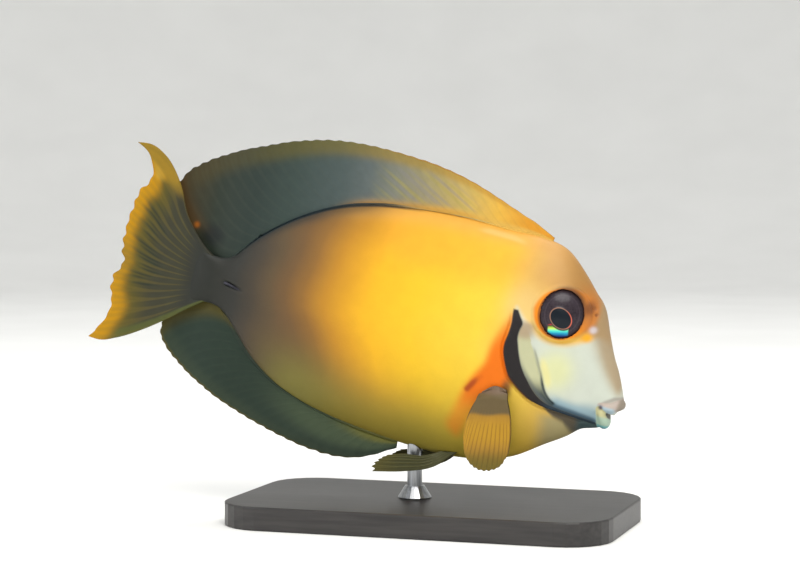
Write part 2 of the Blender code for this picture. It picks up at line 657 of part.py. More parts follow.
def stand_base(collection):
    """A flat plate with round corners and a softened upper edge."""
    curve = bpy.data.curves.new("stand_base", "CURVE")
    curve.dimensions = "2D"
    curve.fill_mode = "BOTH"
    curve.extrude = BASE_THICK / 2 * MM
    spline = curve.splines.new("POLY")
    points = []
    for quarter in range(4):
        middle = math.pi / 4 + quarter * math.pi / 2
        cx = math.copysign(BASE_LENGTH / 2 - BASE_CORNER, math.cos(middle))
        cy = math.copysign(BASE_WIDTH / 2 - BASE_CORNER, math.sin(middle))
        for step in spaced(-math.pi / 4, math.pi / 4, 6):
            angle = middle + step
            points.append((cx + BASE_CORNER * math.cos(angle), cy + BASE_CORNER * math.sin(angle)))
    spline.points.add(len(points) - 1)
    for point, (x, y) in zip(spline.points, points):
        point.co = (x * MM, y * MM, 0, 1)
    spline.use_cyclic_u = True
    obj = make_object("stand_base", curve, collection)
    obj.location = (0, 0, BASE_THICK / 2 * MM)
    base = as_mesh(obj)
    base.name = "stand_base"
    soften = base.modifiers.new("soften", "BEVEL")
    soften.width = BASE_EDGE * MM
    soften.segments = 2
    soften.limit_method = "ANGLE"
    soften.angle_limit = math.radians(60)
    return base


def stand_rod(fish_frame, collection):
    """An upright rod with a foot collar, its top shaped to the belly."""
    foot = BASE_THICK + GAP
    rod_x, belly_z = in_world(ROD_X, belly(ROD_X))
    top = FISH_LIFT + belly_z + ROD_INTO_BELLY
    bpy.ops.mesh.primitive_cylinder_add(vertices=20, radius=ROD_RADIUS * MM, depth=(top - foot) * MM,
                                        location=((rod_x + FISH_AHEAD) * MM, 0, (top + foot) / 2 * MM))
    rod = bpy.context.object
    bpy.ops.mesh.primitive_cone_add(vertices=20, radius1=COLLAR_RADIUS * MM,
                                    radius2=COLLAR_TOP_RADIUS * MM, depth=COLLAR_HEIGHT * MM,
                                    location=(rod.location.x, 0, (foot + COLLAR_HEIGHT / 2) * MM))
    collar = bpy.context.object
    rod.name = "stand_rod"
    for obj in (rod, collar):
        for holder in obj.users_collection:
            holder.objects.unlink(obj)
        collection.objects.link(obj)
    body = loft("belly_room", spaced(*BELLY_ROOM, BELLY_ROOM_STATIONS), collection, GAP)
    body.parent = fish_frame
    combine(rod, [collar], "UNION")
    combine(rod, [body], "DIFFERENCE")
    return rod


MATERIALS = {
    "skin_yellow": ((0.86, 0.53, 0.09), 0.45, 0.0),
    "skin_dusky": ((0.20, 0.16, 0.12), 0.5, 0.0),
    "face_pale": ((0.72, 0.68, 0.56), 0.45, 0.0),
    "gill_edge": ((0.03, 0.025, 0.025), 0.45, 0.0),
    "fin_slate": ((0.10, 0.13, 0.11), 0.5, 0.0),
    "fin_olive": ((0.30, 0.24, 0.06), 0.5, 0.0),
    "eye_dark": ((0.03, 0.025, 0.03), 0.08, 0.0),
    "stand_black": ((0.05, 0.05, 0.055), 0.4, 0.3),
}


def paint(obj, name):
    material = bpy.data.materials.get(name)
    if material is None:
        colour, roughness, metallic = MATERIALS[name]
        material = bpy.data.materials.new(name)
        material.use_nodes = True
        shader = material.node_tree.nodes["Principled BSDF"]
        shader.inputs["Base Color"].default_value = (*colour, 1)
        shader.inputs["Roughness"].default_value = roughness
        shader.inputs["Metallic"].default_value = metallic
    obj.data.materials.clear()
    obj.data.materials.append(material)
    obj.data.shade_smooth()
    obj.data.set_sharp_from_angle(angle=SHARP_ANGLE)


def clear_scene():
    for obj in list(bpy.data.objects):
        bpy.data.objects.remove(obj)


def main():
    clear_scene()
    fish = bpy.data.collections.new("chocolate_surgeonfish")
    bpy.context.scene.collection.children.link(fish)
    fish_frame = make_object("fish_frame", None, fish)
    fish_frame.location = (FISH_AHEAD * MM, 0, FISH_LIFT * MM)
    fish_frame.rotation_euler = (0, FISH_PITCH, 0)

    nodes = {
        make_head(fish): "face_pale",
        make_trunk(fish): "skin_yellow",
        make_tail_stock(fish): "skin_dusky",
        median_fin("dorsal_fin", DORSAL_ROOT_X, DORSAL_EDGE, DORSAL_REAR, back, 1, DORSAL_RAYS,
                   DORSAL_ROWS, fish): "fin_slate",
        median_fin("anal_fin", ANAL_ROOT_X, ANAL_EDGE, ANAL_REAR, belly, -1, ANAL_RAYS,
                   ANAL_ROWS, fish): "fin_slate",
        tail_fin(fish): "fin_olive",
    }
    for side in (-1, 1):
        suffix = "left" if side > 0 else "right"
        nodes[gill_sheet(f"gill_cover_{suffix}", side, 0, GILL_RAISE, GILL_THICK, fish)] = "gill_edge"
        nodes[make_eye(side, fish)] = "eye_dark"
        nodes[pectoral_fin(side, fish)] = "skin_yellow"
        nodes[pelvic_fin(side, fish)] = "fin_slate"
        nodes[tail_spine(side, fish)] = "skin_dusky"
    for obj, material in nodes.items():
        obj.parent = fish_frame
        paint(obj, material)

    for obj in (stand_base(fish), stand_rod(fish_frame, fish)):
        paint(obj, "stand_black")


main()
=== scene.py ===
"""The looks of the surgeonfish model: one skin over the body, finer fins and eyes, stand and studio.

Shapes are drawn in the fish's own frame, in millimetres, as the solids are: +X runs forward from the
root of the tail fin, +Z is up and +Y is the fish's left. placed() turns them into the model's frame.
"""
import math

import bmesh
import bpy
import numpy as np
from mathutils import Matrix, Vector


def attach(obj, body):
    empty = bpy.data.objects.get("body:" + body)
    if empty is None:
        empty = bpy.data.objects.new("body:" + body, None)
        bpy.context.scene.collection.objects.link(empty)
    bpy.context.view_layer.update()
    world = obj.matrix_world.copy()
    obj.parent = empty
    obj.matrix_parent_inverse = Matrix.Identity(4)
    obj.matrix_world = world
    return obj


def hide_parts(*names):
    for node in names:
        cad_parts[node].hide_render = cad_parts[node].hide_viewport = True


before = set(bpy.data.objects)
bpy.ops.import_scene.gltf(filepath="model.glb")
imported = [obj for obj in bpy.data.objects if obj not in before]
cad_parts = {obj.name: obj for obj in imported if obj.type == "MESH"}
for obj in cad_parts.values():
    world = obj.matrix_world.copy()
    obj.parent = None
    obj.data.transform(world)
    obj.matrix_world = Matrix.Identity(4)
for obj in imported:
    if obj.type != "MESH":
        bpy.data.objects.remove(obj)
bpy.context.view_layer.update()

MM = 0.001

# The fish's sizes, as in the solids
SNOUT_X, SNOUT_ROUND = 92.0, 3.4
FISH_PITCH = math.radians(14.0)
TAIL_BEND = math.radians(12.0)
BEND_START = 44.0
FISH_AHEAD, FISH_LIFT = -47.54, 50.95
BACK = [(-6.5, 6.6), (-2, 5.2), (0, 5.3), (2, 6.2), (5, 10.1), (10, 14.9), (16, 19.2), (22, 22.3), (30, 24.8),
        (40, 26.2), (50, 26.9), (60, 26.9), (68, 27.0), (73, 25.7), (77, 22.5), (80.5, 19.0), (83.7, 15.5),
        (85.6, 11.1), (87.6, 6.9), (89.6, 3.7), (91.3, 1.3), (92, 0.4)]
BELLY = [(-6.5, -6.4), (-2, -5.1), (0, -5.2), (2, -6.0), (5, -8.8), (10, -13.9), (16, -18.0), (22, -20.4),
        (30, -22.2), (40, -23.2), (50, -23.5), (58, -23.2), (66, -21.6), (72, -19.2), (78, -14.8), (82, -11.9),
        (84.6, -9.6), (86.5, -8.9), (88.2, -8.2), (89.6, -6.9), (92, -3.6)]
WIDEST = [(-6.5, 0), (-2, 0), (10, 0.4), (30, 1.6), (50, 2.2), (62, 3.5), (70, 6.5), (76, 8.8), (81, 6.0), (86, 0.5),
        (89, -2.2), (92, -2.6)]
HALF_WIDTH = [(-6.5, 0.3), (-4.5, 0.95), (-2, 1.7), (0, 1.9), (5, 2.7), (15, 4.5), (30, 6.7), (45, 8.1), (58, 8.5),
        (68, 8.0), (76, 6.7), (82, 5.0), (86, 3.7), (89, 2.9), (92, 2.3)]
CLOSING = [(-6.5, 1.0), (-2, 1.0), (20, 1.22), (50, 1.3), (64, 1.15), (74, 0.95), (92, 0.95)]
EYE_X, EYE_Z = 76.1, 13.3
EYE_RADIUS, EYE_HALF_DEPTH, EYE_SINK = 5.4, 2.5, 1.0
ORBIT_RADIUS, ORBIT_HALF_DEPTH = 6.3, 2.35
# Half sizes of the cutter that opens the skin over the eye, and of the opening that it leaves
SOCKET_SIZE = (5.03, 5.48, 3.4)
EYE_OPEN_AHEAD, EYE_OPEN_UP = 4.4, 4.95
NOSTRILS = [(81.8, 15.7, 0.45), (82.5, 14.6, 0.36)]
UPPER_LIP = [(87.8, 2.8, -3.3, 0.35), (88.5, 2.75, -3.5, 0.65), (89.8, 2.2, -3.5, 0.95), (91.0, 1.2, -2.8, 1.1),
        (91.3, 0, -2.5, 1.15)]
LOWER_LIP = [(87.7, 2.8, -4.1, 0.35), (88.2, 2.7, -4.8, 0.65), (88.7, 2.1, -6.0, 0.9), (88.95, 1.1, -6.9, 1.1),
        (89.0, 0, -7.2, 1.15)]
MOUTH_SLIT, MOUTH_SLANT = (90.6, 0, -5.75), math.radians(38.0)
MOUTH_SLIT_SIZE = (2.9, 2.9, 0.55)
SPINE_X, SPINE_Z, SPINE_LENGTH, SPINE_SLANT = 3.4, -0.1, 4.0, math.radians(12.0)

DORSAL_ROOT_X = (69.2, 2.6)
DORSAL_EDGE = [(69.3, 27.55), (65.5, 29.3), (61, 30.8), (56, 32.5), (51, 34.1), (46, 35.3), (40, 36.2), (33, 36.6),
        (25, 36.6), (18, 35.9), (10, 33.8), (3, 31.0), (-4, 27.8), (-9.4, 24.6), (-12.8, 21.6), (-14.4, 18.6)]
DORSAL_REAR = [(2.6, 0), (0.2, 4.4), (-2.6, 4.4), (-6.4, 6.4), (-10.0, 10.0), (-12.9, 14.3), (-14.4, 18.6)]
ANAL_ROOT_X = (46.5, 2.6)
ANAL_EDGE = [(46.6, -24.9), (43, -27.2), (38.5, -29.4), (33, -30.6), (26, -30.4), (19.5, -29.3), (13, -27.7),
        (6, -25.4), (0.4, -23.1), (-4.6, -20.7), (-9.0, -17.6), (-11.2, -14.6), (-11.4, -12.2)]
ANAL_REAR = [(2.6, 0), (0.2, -5.2), (-2.8, -5.1), (-6.7, -6.7), (-9.9, -9.4), (-11.4, -12.2)]
TAIL_ROOT_X, TAIL_POLE = -2.0, (5.5, 0.0)
TAIL_TOP = [(-2.0, 4.9), (-4.6, 6.6), (-7.2, 9.0), (-9.9, 12.4), (-12.3, 17.4), (-14.6, 21.0), (-18, 24.2),
        (-21.4, 25.5), (-24.2, 25.2)]
TAIL_LOW = [(-2.0, -4.9), (-5.0, -7.1), (-9.4, -10.8), (-14.6, -14.7), (-19.5, -17.6), (-23.0, -18.9), (-25.6, -18.8)]
TAIL_EDGE = [(-25.6, -18.8), (-24.3, -16.7), (-22.8, -13.8), (-22.3, -10.6), (-23.2, -7.2), (-23.2, -4.2),
        (-21.8, -1.4), (-22.7, 2.2), (-22.7, 6.4), (-22.3, 10.8), (-21.5, 15.2), (-19.6, 18.6), (-20.4, 22.2),
        (-22.0, 24.2), (-24.2, 25.2)]
PECTORAL_ROOT = [(69.2, -5.6), (66.4, -5.5), (63.8, -7.3)]
PECTORAL_LEAD = [(69.2, -5.6), (71.2, -9.5), (72.5, -13.5), (73.0, -17.3)]
PECTORAL_EDGE = [(73.0, -17.3), (72.0, -20.2), (69.6, -21.9), (67.0, -22.0), (64.5, -20.3), (62.9, -16.8)]
PECTORAL_TRAIL = [(63.8, -7.3), (62.8, -10.4), (62.5, -13.6), (62.9, -16.8)]
PECTORAL_HINGE, LEFT_SWEEP = (66.4, -6.2), math.radians(48.0)
PECTORAL_SPREAD, PECTORAL_CUP = 1.6, 0.5
PELVIC_ROOT_X = (60.0, 57.2)
PELVIC_LEAD = [(56.6, -25.6), (50.6, -28.3), (44.0, -30.2)]
PELVIC_EDGE = [(44.0, -30.2), (43.6, -29.2), (44.4, -27.6), (46.2, -25.9)]
PELVIC_TRAIL = [(53.6, -24.0), (50.0, -24.6), (46.2, -25.9)]
PELVIC_RAISE, PELVIC_CLEAR, PELVIC_SPREAD = 0.9, 1.5, 0.9
RAY_LEAN, TAIL_ROOT_CURVE = 0.8, 0.25
LOBE_LAG, LOBE_AHEAD, LOBE_LENGTH, LOBE_CURVE = 2.5, 3.0, 14.0, 1.2

# Lines of the face in the side view
BAND_OUTER = [(66.2, 12.2), (66.4, 10.6), (66.6, 9.2), (66.5, 6.8), (66.2, 4.6), (66.3, 3.1), (66.8, 1.5),
        (67.5, -0.1), (68.3, -1.6), (70.0, -3.3), (71.6, -4.5), (73.9, -5.8), (76.1, -6.4), (78.4, -6.7),
        (81.6, -7.0), (84.7, -7.3), (87.0, -7.6)]
BAND_INNER = [(66.9, 12.4), (68.0, 10.9), (69.0, 9.4), (68.7, 7.9), (68.7, 6.3), (69.1, 4.9), (69.8, 2.9),
        (70.6, 1.1), (71.6, -0.5), (72.8, -2.0), (74.0, -3.4), (75.4, -4.6), (77.0, -5.4), (78.6, -5.8), (81.5, -6.2),
        (84.6, -6.6), (87.0, -7.1)]
CREASE = [(71.6, 6.2), (72.7, 4.4), (73.5, 2.8), (74.2, 1.3), (75.0, -0.3), (75.7, -2.1), (76.5, -3.6), (77.5, -4.7),
        (79.2, -5.7)]

# How much of their full light the fish's colours send back
DEPTH = 0.76
# The grid of the skin's mesh, in millimetres, and how often it is smoothed
VOXEL, SMOOTH_STEPS = 0.2, 3
# The signs of y, and their sides of the fish
SIDES = {-1: "right", 1: "left"}


def smooth(points):
    """The function through the points: one cubic for each pair, with slopes from their neighbours."""
    xs, ys = np.array(points, float).T
    slopes = np.gradient(ys, xs)

    def value(x):
        x = np.asarray(x, float)
        i = np.clip(np.searchsorted(xs, x, side="right") - 1, 0, len(xs) - 2)
        step = xs[i + 1] - xs[i]
        t = (np.clip(x, xs[0], xs[-1]) - xs[i]) / step
        rise = ys[i] + (ys[i + 1] - ys[i]) * t * t * (3 - 2 * t)
        return rise + step * t * (1 - t) * (slopes[i] * (1 - t) - slopes[i + 1] * t)

    return value


back, belly, widest = smooth(BACK), smooth(BELLY), smooth(WIDEST)
half_width, closing = smooth(HALF_WIDTH), smooth(CLOSING)


def run_of(points):
    """The length along a line up to each of its points."""
    return np.concatenate([[0], np.cumsum(np.linalg.norm(np.diff(points, axis=0), axis=1))])


def path(points):
    """The smooth curve through the points, as a function of the share of its length."""
    points = np.array(points, float)
    run = run_of(points)
    parts = [smooth(list(zip(run / run[-1], column))) for column in points.T]
    return lambda share: stacked(*(part(share) for part in parts))


def ease(value, low=0.0, high=1.0):
    """0 up to low, 1 from high on, and a smooth rise between them."""
    t = np.clip((np.asarray(value, float) - low) / (high - low), 0, 1)
    return t * t * (3 - 2 * t)


def fade(value, low=0.0, high=1.0):
    return 1 - ease(value, low, high)


def span(value, low, full, fall, end):
    """0 outside low and end, and 1 between full and fall."""
    return ease(value, low, full) * fade(value, fall, end)


def circle(count):
    return np.linspace(0, 2 * math.pi, count, endpoint=False)


def unit(vectors):
    return vectors / np.maximum(np.linalg.norm(vectors, axis=-1), 1e-9)[..., None]


def stacked(*parts):
    """Points from their coordinates."""
    return np.stack(np.broadcast_arrays(*parts), axis=-1)


def rotated(x, z, angle):
    """A place in the side view, seen from axes whose ahead is turned up by the angle."""
    c, s = math.cos(angle), math.sin(angle)
    return x * c + z * s, z * c - x * s


def bump_at(distance, width):
    """1 at no distance, falling off to either side."""
    return np.exp(-(distance / width) ** 2)


def spot(x, z, place, wide, high):
    return bump_at(np.hypot((x - place[0]) / wide, (z - place[1]) / high), 1.0)


def section(x):
    """Top, bottom, widest level and half width of the body at x, with the snout rounded off."""
    end = np.maximum(x - (SNOUT_X - SNOUT_ROUND), 0.0) / SNOUT_ROUND
    fullness = np.sqrt(np.maximum(1 - end * end, 0.0))
    level = widest(x)
    top = level + (back(x) - level) * fullness
    bottom = level + (belly(x) - level) * fullness
    return top, bottom, level, half_width(x) * fullness


def body_points(x, angle):
    top, bottom, level, width = section(x)
    lift, side = np.sin(angle), np.cos(angle)
    height = np.where(lift > 0, top - level, level - bottom)
    spread = np.sign(side) * np.abs(side) ** closing(x)
    return stacked(x, width * spread, level + height * lift)


def height_share(x, z):
    """0 at the widest level, 1 at the back and -1 at the belly."""
    top, bottom, level, _ = section(x)
    return np.where(z > level, (z - level) / np.maximum(top - level, 0.01),
                    (z - level) / np.maximum(level - bottom, 0.01))


def flank(x, z):
    rise = height_share(x, z)
    return section(x)[3] * np.maximum(1 - rise * rise, 0.0) ** (closing(x) / 2)


def flank_normal(x, z, step=0.5):
    slope_x = (flank(x + step, z) - flank(x - step, z)) / (2 * step)
    slope_z = (flank(x, z + step) - flank(x, z - step)) / (2 * step)
    return Vector((-slope_x, 1, -slope_z)).normalized()


def bend(points):
    """The body's turn: straight ahead of BEND_START, and curving to the right behind it."""
    x, y, z = points[..., 0], points[..., 1], points[..., 2]
    behind = np.maximum(BEND_START - x, 0)
    radius = BEND_START / TAIL_BEND
    turned = np.minimum(behind, BEND_START) / radius
    straight = np.maximum(behind - BEND_START, 0)
    centre_x = BEND_START - radius * np.sin(turned) - np.cos(turned) * straight
    centre_y = -radius * (1 - np.cos(turned)) - np.sin(turned) * straight
    bent = stacked(centre_x - np.sin(turned) * y, centre_y + np.cos(turned) * y, z)
    return np.where((x >= BEND_START)[..., None], points, bent)


def placed(points):
    """Points of the bent fish in the model's frame, in metres."""
    x, z = rotated(points[..., 0], points[..., 2], FISH_PITCH)
    return stacked(x + FISH_AHEAD, points[..., 1], z + FISH_LIFT) * MM


def mirrored(point, side):
    return np.array(point, float) * np.array([1, side, 1])


# Meshes

def grid_faces(rows, columns, wrap=False, first=0):
    r, c = np.meshgrid(np.arange(rows - 1), np.arange(columns if wrap else columns - 1), indexing="ij")
    after = (c + 1) % columns
    quads = stacked(r * columns + c, r * columns + after, (r + 1) * columns + after, (r + 1) * columns + c)
    return (quads.reshape(-1, 4) + first).tolist()


def linked(name, data):
    obj = bpy.data.objects.new(name, data)
    bpy.context.scene.collection.objects.link(obj)
    return obj


def raw_object(name, points, faces):
    mesh = bpy.data.meshes.new(name)
    mesh.from_pydata(np.asarray(points, float).reshape(-1, 3).tolist(), [], faces)
    return linked(name, mesh)


def evaluated(obj):
    bpy.context.view_layer.update()
    graph = bpy.context.evaluated_depsgraph_get()
    return bpy.data.meshes.new_from_object(obj.evaluated_get(graph))


def vectors(items, key):
    """One three-part value of each vertex or normal of a mesh."""
    values = np.empty(len(items) * 3, np.float32)
    items.foreach_get(key, values)
    return values.reshape(-1, 3).astype(float)


def closed_faces(rows, columns):
    """The faces of a tube through rows of points, closed by a fan to one more point at each end."""
    faces = grid_faces(rows, columns, wrap=True)
    last = (rows - 1) * columns
    for k in range(columns):
        after = (k + 1) % columns
        faces.append([after, k, rows * columns])
        faces.append([last + k, last + after, rows * columns + 1])
    return faces


def ring_loft(name, rings):
    """A closed mesh through rings of points, with a flat fan at each end."""
    points = np.concatenate([rings.reshape(-1, 3), rings[0].mean(0)[None], rings[-1].mean(0)[None]])
    return outward(raw_object(name, points, closed_faces(*rings.shape[:2])))


def outward(obj):
    """Turns the faces of a closed mesh outward."""
    bm = bmesh.new()
    bm.from_mesh(obj.data)
    bmesh.ops.recalc_face_normals(bm, faces=bm.faces)
    bm.to_mesh(obj.data)
    bm.free()
    return obj


def tube(name, centres, radii, around=20):
    """A round tube along a line, with a radius for each point."""
    along = unit(np.gradient(centres, axis=0))
    first = unit(np.cross(along, [0.0, 0.0, 1.0]))
    second = np.cross(first, along)
    angles = circle(around)
    rings = (centres[:, None] + radii[:, None, None]
             * (np.cos(angles)[None, :, None] * first[:, None] + np.sin(angles)[None, :, None] * second[:, None]))
    return ring_loft(name, rings)


def ellipsoid(name, centre, radii, normal, segments=64, rings=32):
    """A sphere scaled by radii and turned so that its last axis points along the normal."""
    angles = circle(segments)
    rise = np.linspace(-math.pi / 2, math.pi / 2, rings + 1)[1:-1, None]
    ball = stacked(np.cos(rise) * np.cos(angles), np.cos(rise) * np.sin(angles), np.sin(rise)) * np.array(radii)
    turn = np.array(Vector(normal).to_track_quat("Z", "Y").to_matrix())
    return ring_loft(name, ball @ turn.T + np.array(centre))


def combine(obj, pieces, operation):
    """Joins the pieces to the object, or cuts them from it, and removes them."""
    group = bpy.data.collections.new("pieces")
    bpy.context.scene.collection.children.link(group)
    for item in pieces:
        bpy.context.scene.collection.objects.unlink(item)
        group.objects.link(item)
    modifier = obj.modifiers.new("combine", "BOOLEAN")
    modifier.operation, modifier.operand_type, modifier.collection = operation, "COLLECTION", group
    modifier.solver = "EXACT"
    mesh = evaluated(obj)
    obj.modifiers.remove(modifier)
    obj.data = mesh
    for item in pieces:
        bpy.data.objects.remove(item)
    bpy.data.collections.remove(group)


def piece(name, points, faces, material, nodes, fields=None):
    """A finished piece of the model, from points of the bent fish, with a float attribute for each field."""
    obj = raw_object(name, placed(points), faces)
    outward(obj)
    for key, values in (fields or {}).items():
        attribute = obj.data.attributes.new(key, "FLOAT", "POINT")
        attribute.data.foreach_set("value", np.asarray(values, np.float32).ravel())
    obj.data.materials.append(material)
    obj.data.shade_smooth()
    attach(obj, "root")
    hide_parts(*nodes)
    return obj


def line_field(x, z, line):
    """Signed distance to a line in the side view, positive to its left, and the share along the line."""
    line = np.array(line, float)
    run = run_of(line)
    best = np.full(x.shape, 1e9)
    signed, share = np.zeros(x.shape), np.zeros(x.shape)
    for (ax, az), (bx, bz), start in zip(line, line[1:], run):
        dx, dz = bx - ax, bz - az
        length = math.hypot(dx, dz)
        t = np.clip(((x - ax) * dx + (z - az) * dz) / length ** 2, 0, 1)
        gap = np.hypot(x - ax - dx * t, z - az - dz * t)
        cross = dx * (z - az) - dz * (x - ax)
        nearer = gap < best
        best = np.where(nearer, gap, best)
        signed = np.where(nearer, np.where(cross >= 0, gap, -gap), signed)
        share = np.where(nearer, (start + t * length) / run[-1], share)
    return signed, share


def fine(line, count=60):
    """The smooth curve through a line's points, as a closer row of points."""
    return path(line)(np.linspace(0, 1, count))


def area_field(x, z, outline):
    """Signed distance to a closed outline in the side view, positive inside."""
    outline = list(outline) + [outline[0]]
    distance = np.abs(line_field(x, z, outline)[0])
    inside = np.zeros(x.shape, bool)
    for (ax, az), (bx, bz) in zip(outline, outline[1:]):
        if az != bz:
            crosses = (az > z) != (bz > z)
            inside ^= crosses & (x < ax + (bx - ax) * (z - az) / (bz - az))
    return np.where(inside, distance, -distance)


# Materials

def rgb(red, green, blue):
    """A colour from its 0-255 screen values, as linear light."""
    values = np.array([red, green, blue]) / 255
    linear = np.where(values <= 0.04045, values / 12.92, ((values + 0.055) / 1.055) ** 2.4)
    return (*linear.tolist(), 1.0)


class Nodes:
    """Short names for adding nodes to a material."""

    def __init__(self, name):
        self.material = bpy.data.materials.new(name)
        self.material.use_nodes = True
        self.tree = self.material.node_tree
        self.shader = self.tree.nodes["Principled BSDF"]

    def add(self, kind, inputs=None, **settings):
        node = self.tree.nodes.new(kind)
        for key, value in settings.items():
            setattr(node, key, value)
        for key, value in (inputs or {}).items():
            self.put(node.inputs[key], value)
        return node

    def put(self, socket, value):
        if isinstance(value, bpy.types.NodeSocket):
            self.tree.links.new(value, socket)
        else:
            socket.default_value = value

    def attribute(self, name):
        return self.add("ShaderNodeAttribute", attribute_name=name).outputs["Fac"]

    def math(self, operation, a, b=0.0):
        node = self.add("ShaderNodeMath", operation=operation)
        self.put(node.inputs[0], a)
        self.put(node.inputs[1], b)
        return node.outputs[0]

    def mix(self, share, a, b, blend="MIX"):
        node = self.add("ShaderNodeMix", data_type="RGBA", blend_type=blend)
        self.put(node.inputs[0], share)
        self.put(node.inputs[6], a)
        self.put(node.inputs[7], b)
        return node.outputs[2]

    def step(self, value, low, high, amount=1.0, kind="SMOOTHSTEP"):
        """0 below low and the amount above high."""
        return self.add("ShaderNodeMapRange", interpolation_type=kind, inputs={
            0: value, 1: low, 2: high, 3: 0.0, 4: amount}).outputs[0]

    def ramp(self, value, stops):
        """Colours along a value: stops lists values, from low to high, and their colours."""
        low, high = stops[0][0], stops[-1][0]
        node = self.add("ShaderNodeValToRGB")
        self.put(node.inputs[0], self.step(value, low, high, kind="LINEAR"))
        elements = node.color_ramp.elements
        while len(elements) < len(stops):
            elements.new(0.5)
        for element, (place, colour) in zip(elements, stops):
            element.position = (place - low) / (high - low)
            element.color = colour if len(colour) == 4 else rgb(*colour)
        return node.outputs[0]

    def mottled(self, value, dark, pale):
        """From one colour to another over the range where most of a noise lies."""
        return self.ramp(value, [(0.3, dark), (0.7, pale)])

    def place(self, scale=(1, 1, 1)):
        coordinates = self.add("ShaderNodeTexCoord").outputs["Object"]
        return self.add("ShaderNodeMapping", inputs={"Vector": coordinates, "Scale": scale}).outputs[0]

    def noise(self, size, detail=2.0, place=None):
        """Noise whose lumps are about so many millimetres wide."""
        return self.add("ShaderNodeTexNoise", inputs={
            "Vector": place or self.place(), "Scale": 1 / (size * MM), "Detail": detail}).outputs["Fac"]

    def layers(self, colour, rows):
        """Colours laid over one another. A field's row has the red, green and blue, the amount, and
        the field's values where it starts and where it is full, if they aren't 0 and 1."""
        for field, (red, green, blue, amount, *limits) in rows.items():
            share = self.step(self.attribute(field), *(limits or (0.0, 1.0)), amount)
            colour = self.mix(share, colour, rgb(red, green, blue))
        return colour

    def finish(self, colour, **values):
        self.put(self.shader.inputs["Base Color"], colour)
        for key, value in values.items():
            self.put(self.shader.inputs[key.replace("_", " ")], value)
        return self.material


def bumped(nodes, height, strength, distance, below=None):
    inputs = {"Height": height, "Strength": strength, "Distance": distance * MM}
    if below is not None:
        inputs["Normal"] = below
    return nodes.add("ShaderNodeBump", inputs=inputs).outputs[0]


def speckled(nodes, colour, size, amount):
    """The colour at the depth that the studio's light calls for, a little darker in soft lumps."""
    dark, pale = ((level, level, level, 1) for level in (DEPTH * (1 - amount), DEPTH))
    return nodes.mix(1.0, colour, nodes.mottled(nodes.noise(size, 3.0), dark, pale), "MULTIPLY")


BODY_RAMP = [(-2, (43, 45, 40)), (4, (54, 54, 50)), (8, (73, 65, 54)), (12, (96, 79, 56)), (16, (117, 88, 54)),
        (20, (147, 105, 49)), (25, (196, 138, 40)), (30, (228, 165, 36)), (35, (250, 188, 34)), (45, (252, 202, 40)),
        (60, (253, 214, 66)), (70, (246, 198, 92))]


def skin_material():
    nodes = Nodes("fish_skin")
    colour = nodes.ramp(nodes.attribute("along"), BODY_RAMP)
    colour = nodes.layers(colour, {
        # The grey on top of the tail's stock is its own colour, made darker with painted shade under the dorsal fin.
        "upper_warm": (250, 176, 50, 0.6), "top_peach": (242, 178, 76, 0.85), "top_grey": (58, 60, 58, 0.75),
        # The dark line where the dorsal fin rises from the back is painted shade in that crease.
        # The pale line along the ridge of the back is a painted highlight.
        "belly_olive": (138, 132, 60, 0.85), "dorsal_line": (30, 44, 50, 0.9), "ridge": (252, 210, 140, 0.4),
        "temple": (240, 206, 136, 0.7), "forehead": (214, 164, 98, 0.95), "brow": (152, 108, 54, 0.62),
        "face": (216, 222, 208, 1.0, -0.9, 0.9), "face_yellow": (234, 236, 176, 0.85),
        "face_front": (178, 152, 114, 0.85), "cheek_grey": (204, 204, 162, 0.95),
        # The pale yellow along the rise just ahead of the crease is a painted highlight.
        "cheek_tan": (182, 160, 130, 0.9), "cheek_yellow": (244, 236, 164, 0.85),
        "face_low": (150, 180, 192, 0.95), "face_blue": (62, 88, 106, 0.95), "throat": (176, 166, 122, 0.9),
        "orange": (248, 122, 10, 1.0), "axil": (178, 72, 20, 0.9), "root_brown": (104, 72, 38, 0.85),
        "eye_ring": (246, 142, 22, 1.0), "eye_front": (204, 128, 60, 0.95), "eye_lid": (92, 62, 40, 0.85),
        "eye_rim": (92, 52, 28, 0.7), "eye_yellow": (252, 180, 34, 0.95), "pale_spot": (222, 212, 216, 0.9),
        # The grey inside the band's inner edge is painted shade.
        "cheek_shade": (58, 72, 74, 1.0), "band_haze": (98, 104, 104, 0.7),
        # The crease's dark lines are painted shade in its groove.
        # The dark under the chin, below the band's line, is painted shade.
        "crease_faint": (156, 158, 134, 0.7), "crease": (40, 54, 58, 0.92), "chin": (88, 82, 72, 0.95),
        "chin_front": (70, 90, 92, 0.95), "band": (40, 36, 37, 1.0, -0.25, 0.25),
        "band_blue": (46, 62, 74, 0.95), "band_maroon": (104, 46, 34, 0.75), "nostril": (128, 76, 44, 0.8),
        # The groove over the upper lip carries a painted shadow.
        "lip_groove": (150, 136, 128, 0.6), "lip_upper": (200, 184, 172, 0.95),
        # The upper lip's darker front end is painted shade.
        "lip_pale": (182, 208, 220, 0.9), "lip_tip": (132, 122, 104, 0.7), "lip_lower": (188, 214, 190, 0.95),
        "lip_fold": (214, 204, 148, 0.85), "lip_cyan": (110, 190, 196, 0.85), "lip_under": (34, 92, 140, 0.9),
        # The mouth's dark corner is painted shade.
        "mouth_corner": (76, 60, 88, 0.9), "gape": (150, 148, 136, 0.9), "slit": (44, 44, 48, 0.8, -0.2, 0.5),
    })
    colour = speckled(nodes, colour, 3.0, 0.05)
    cells = nodes.add("ShaderNodeTexVoronoi", feature="F1", inputs={
        "Vector": nodes.place(), "Scale": 1 / (0.62 * MM)}).outputs["Distance"]
    normal = bumped(nodes, cells, 0.22, -0.06)
    normal = bumped(nodes, nodes.noise(0.25, 2.0), 0.10, 0.03, normal)
    return nodes.finish(colour, Roughness=nodes.math("ADD", nodes.math("MULTIPLY", cells, 0.12), 0.44),
                        Normal=normal, Specular_IOR_Level=0.2)


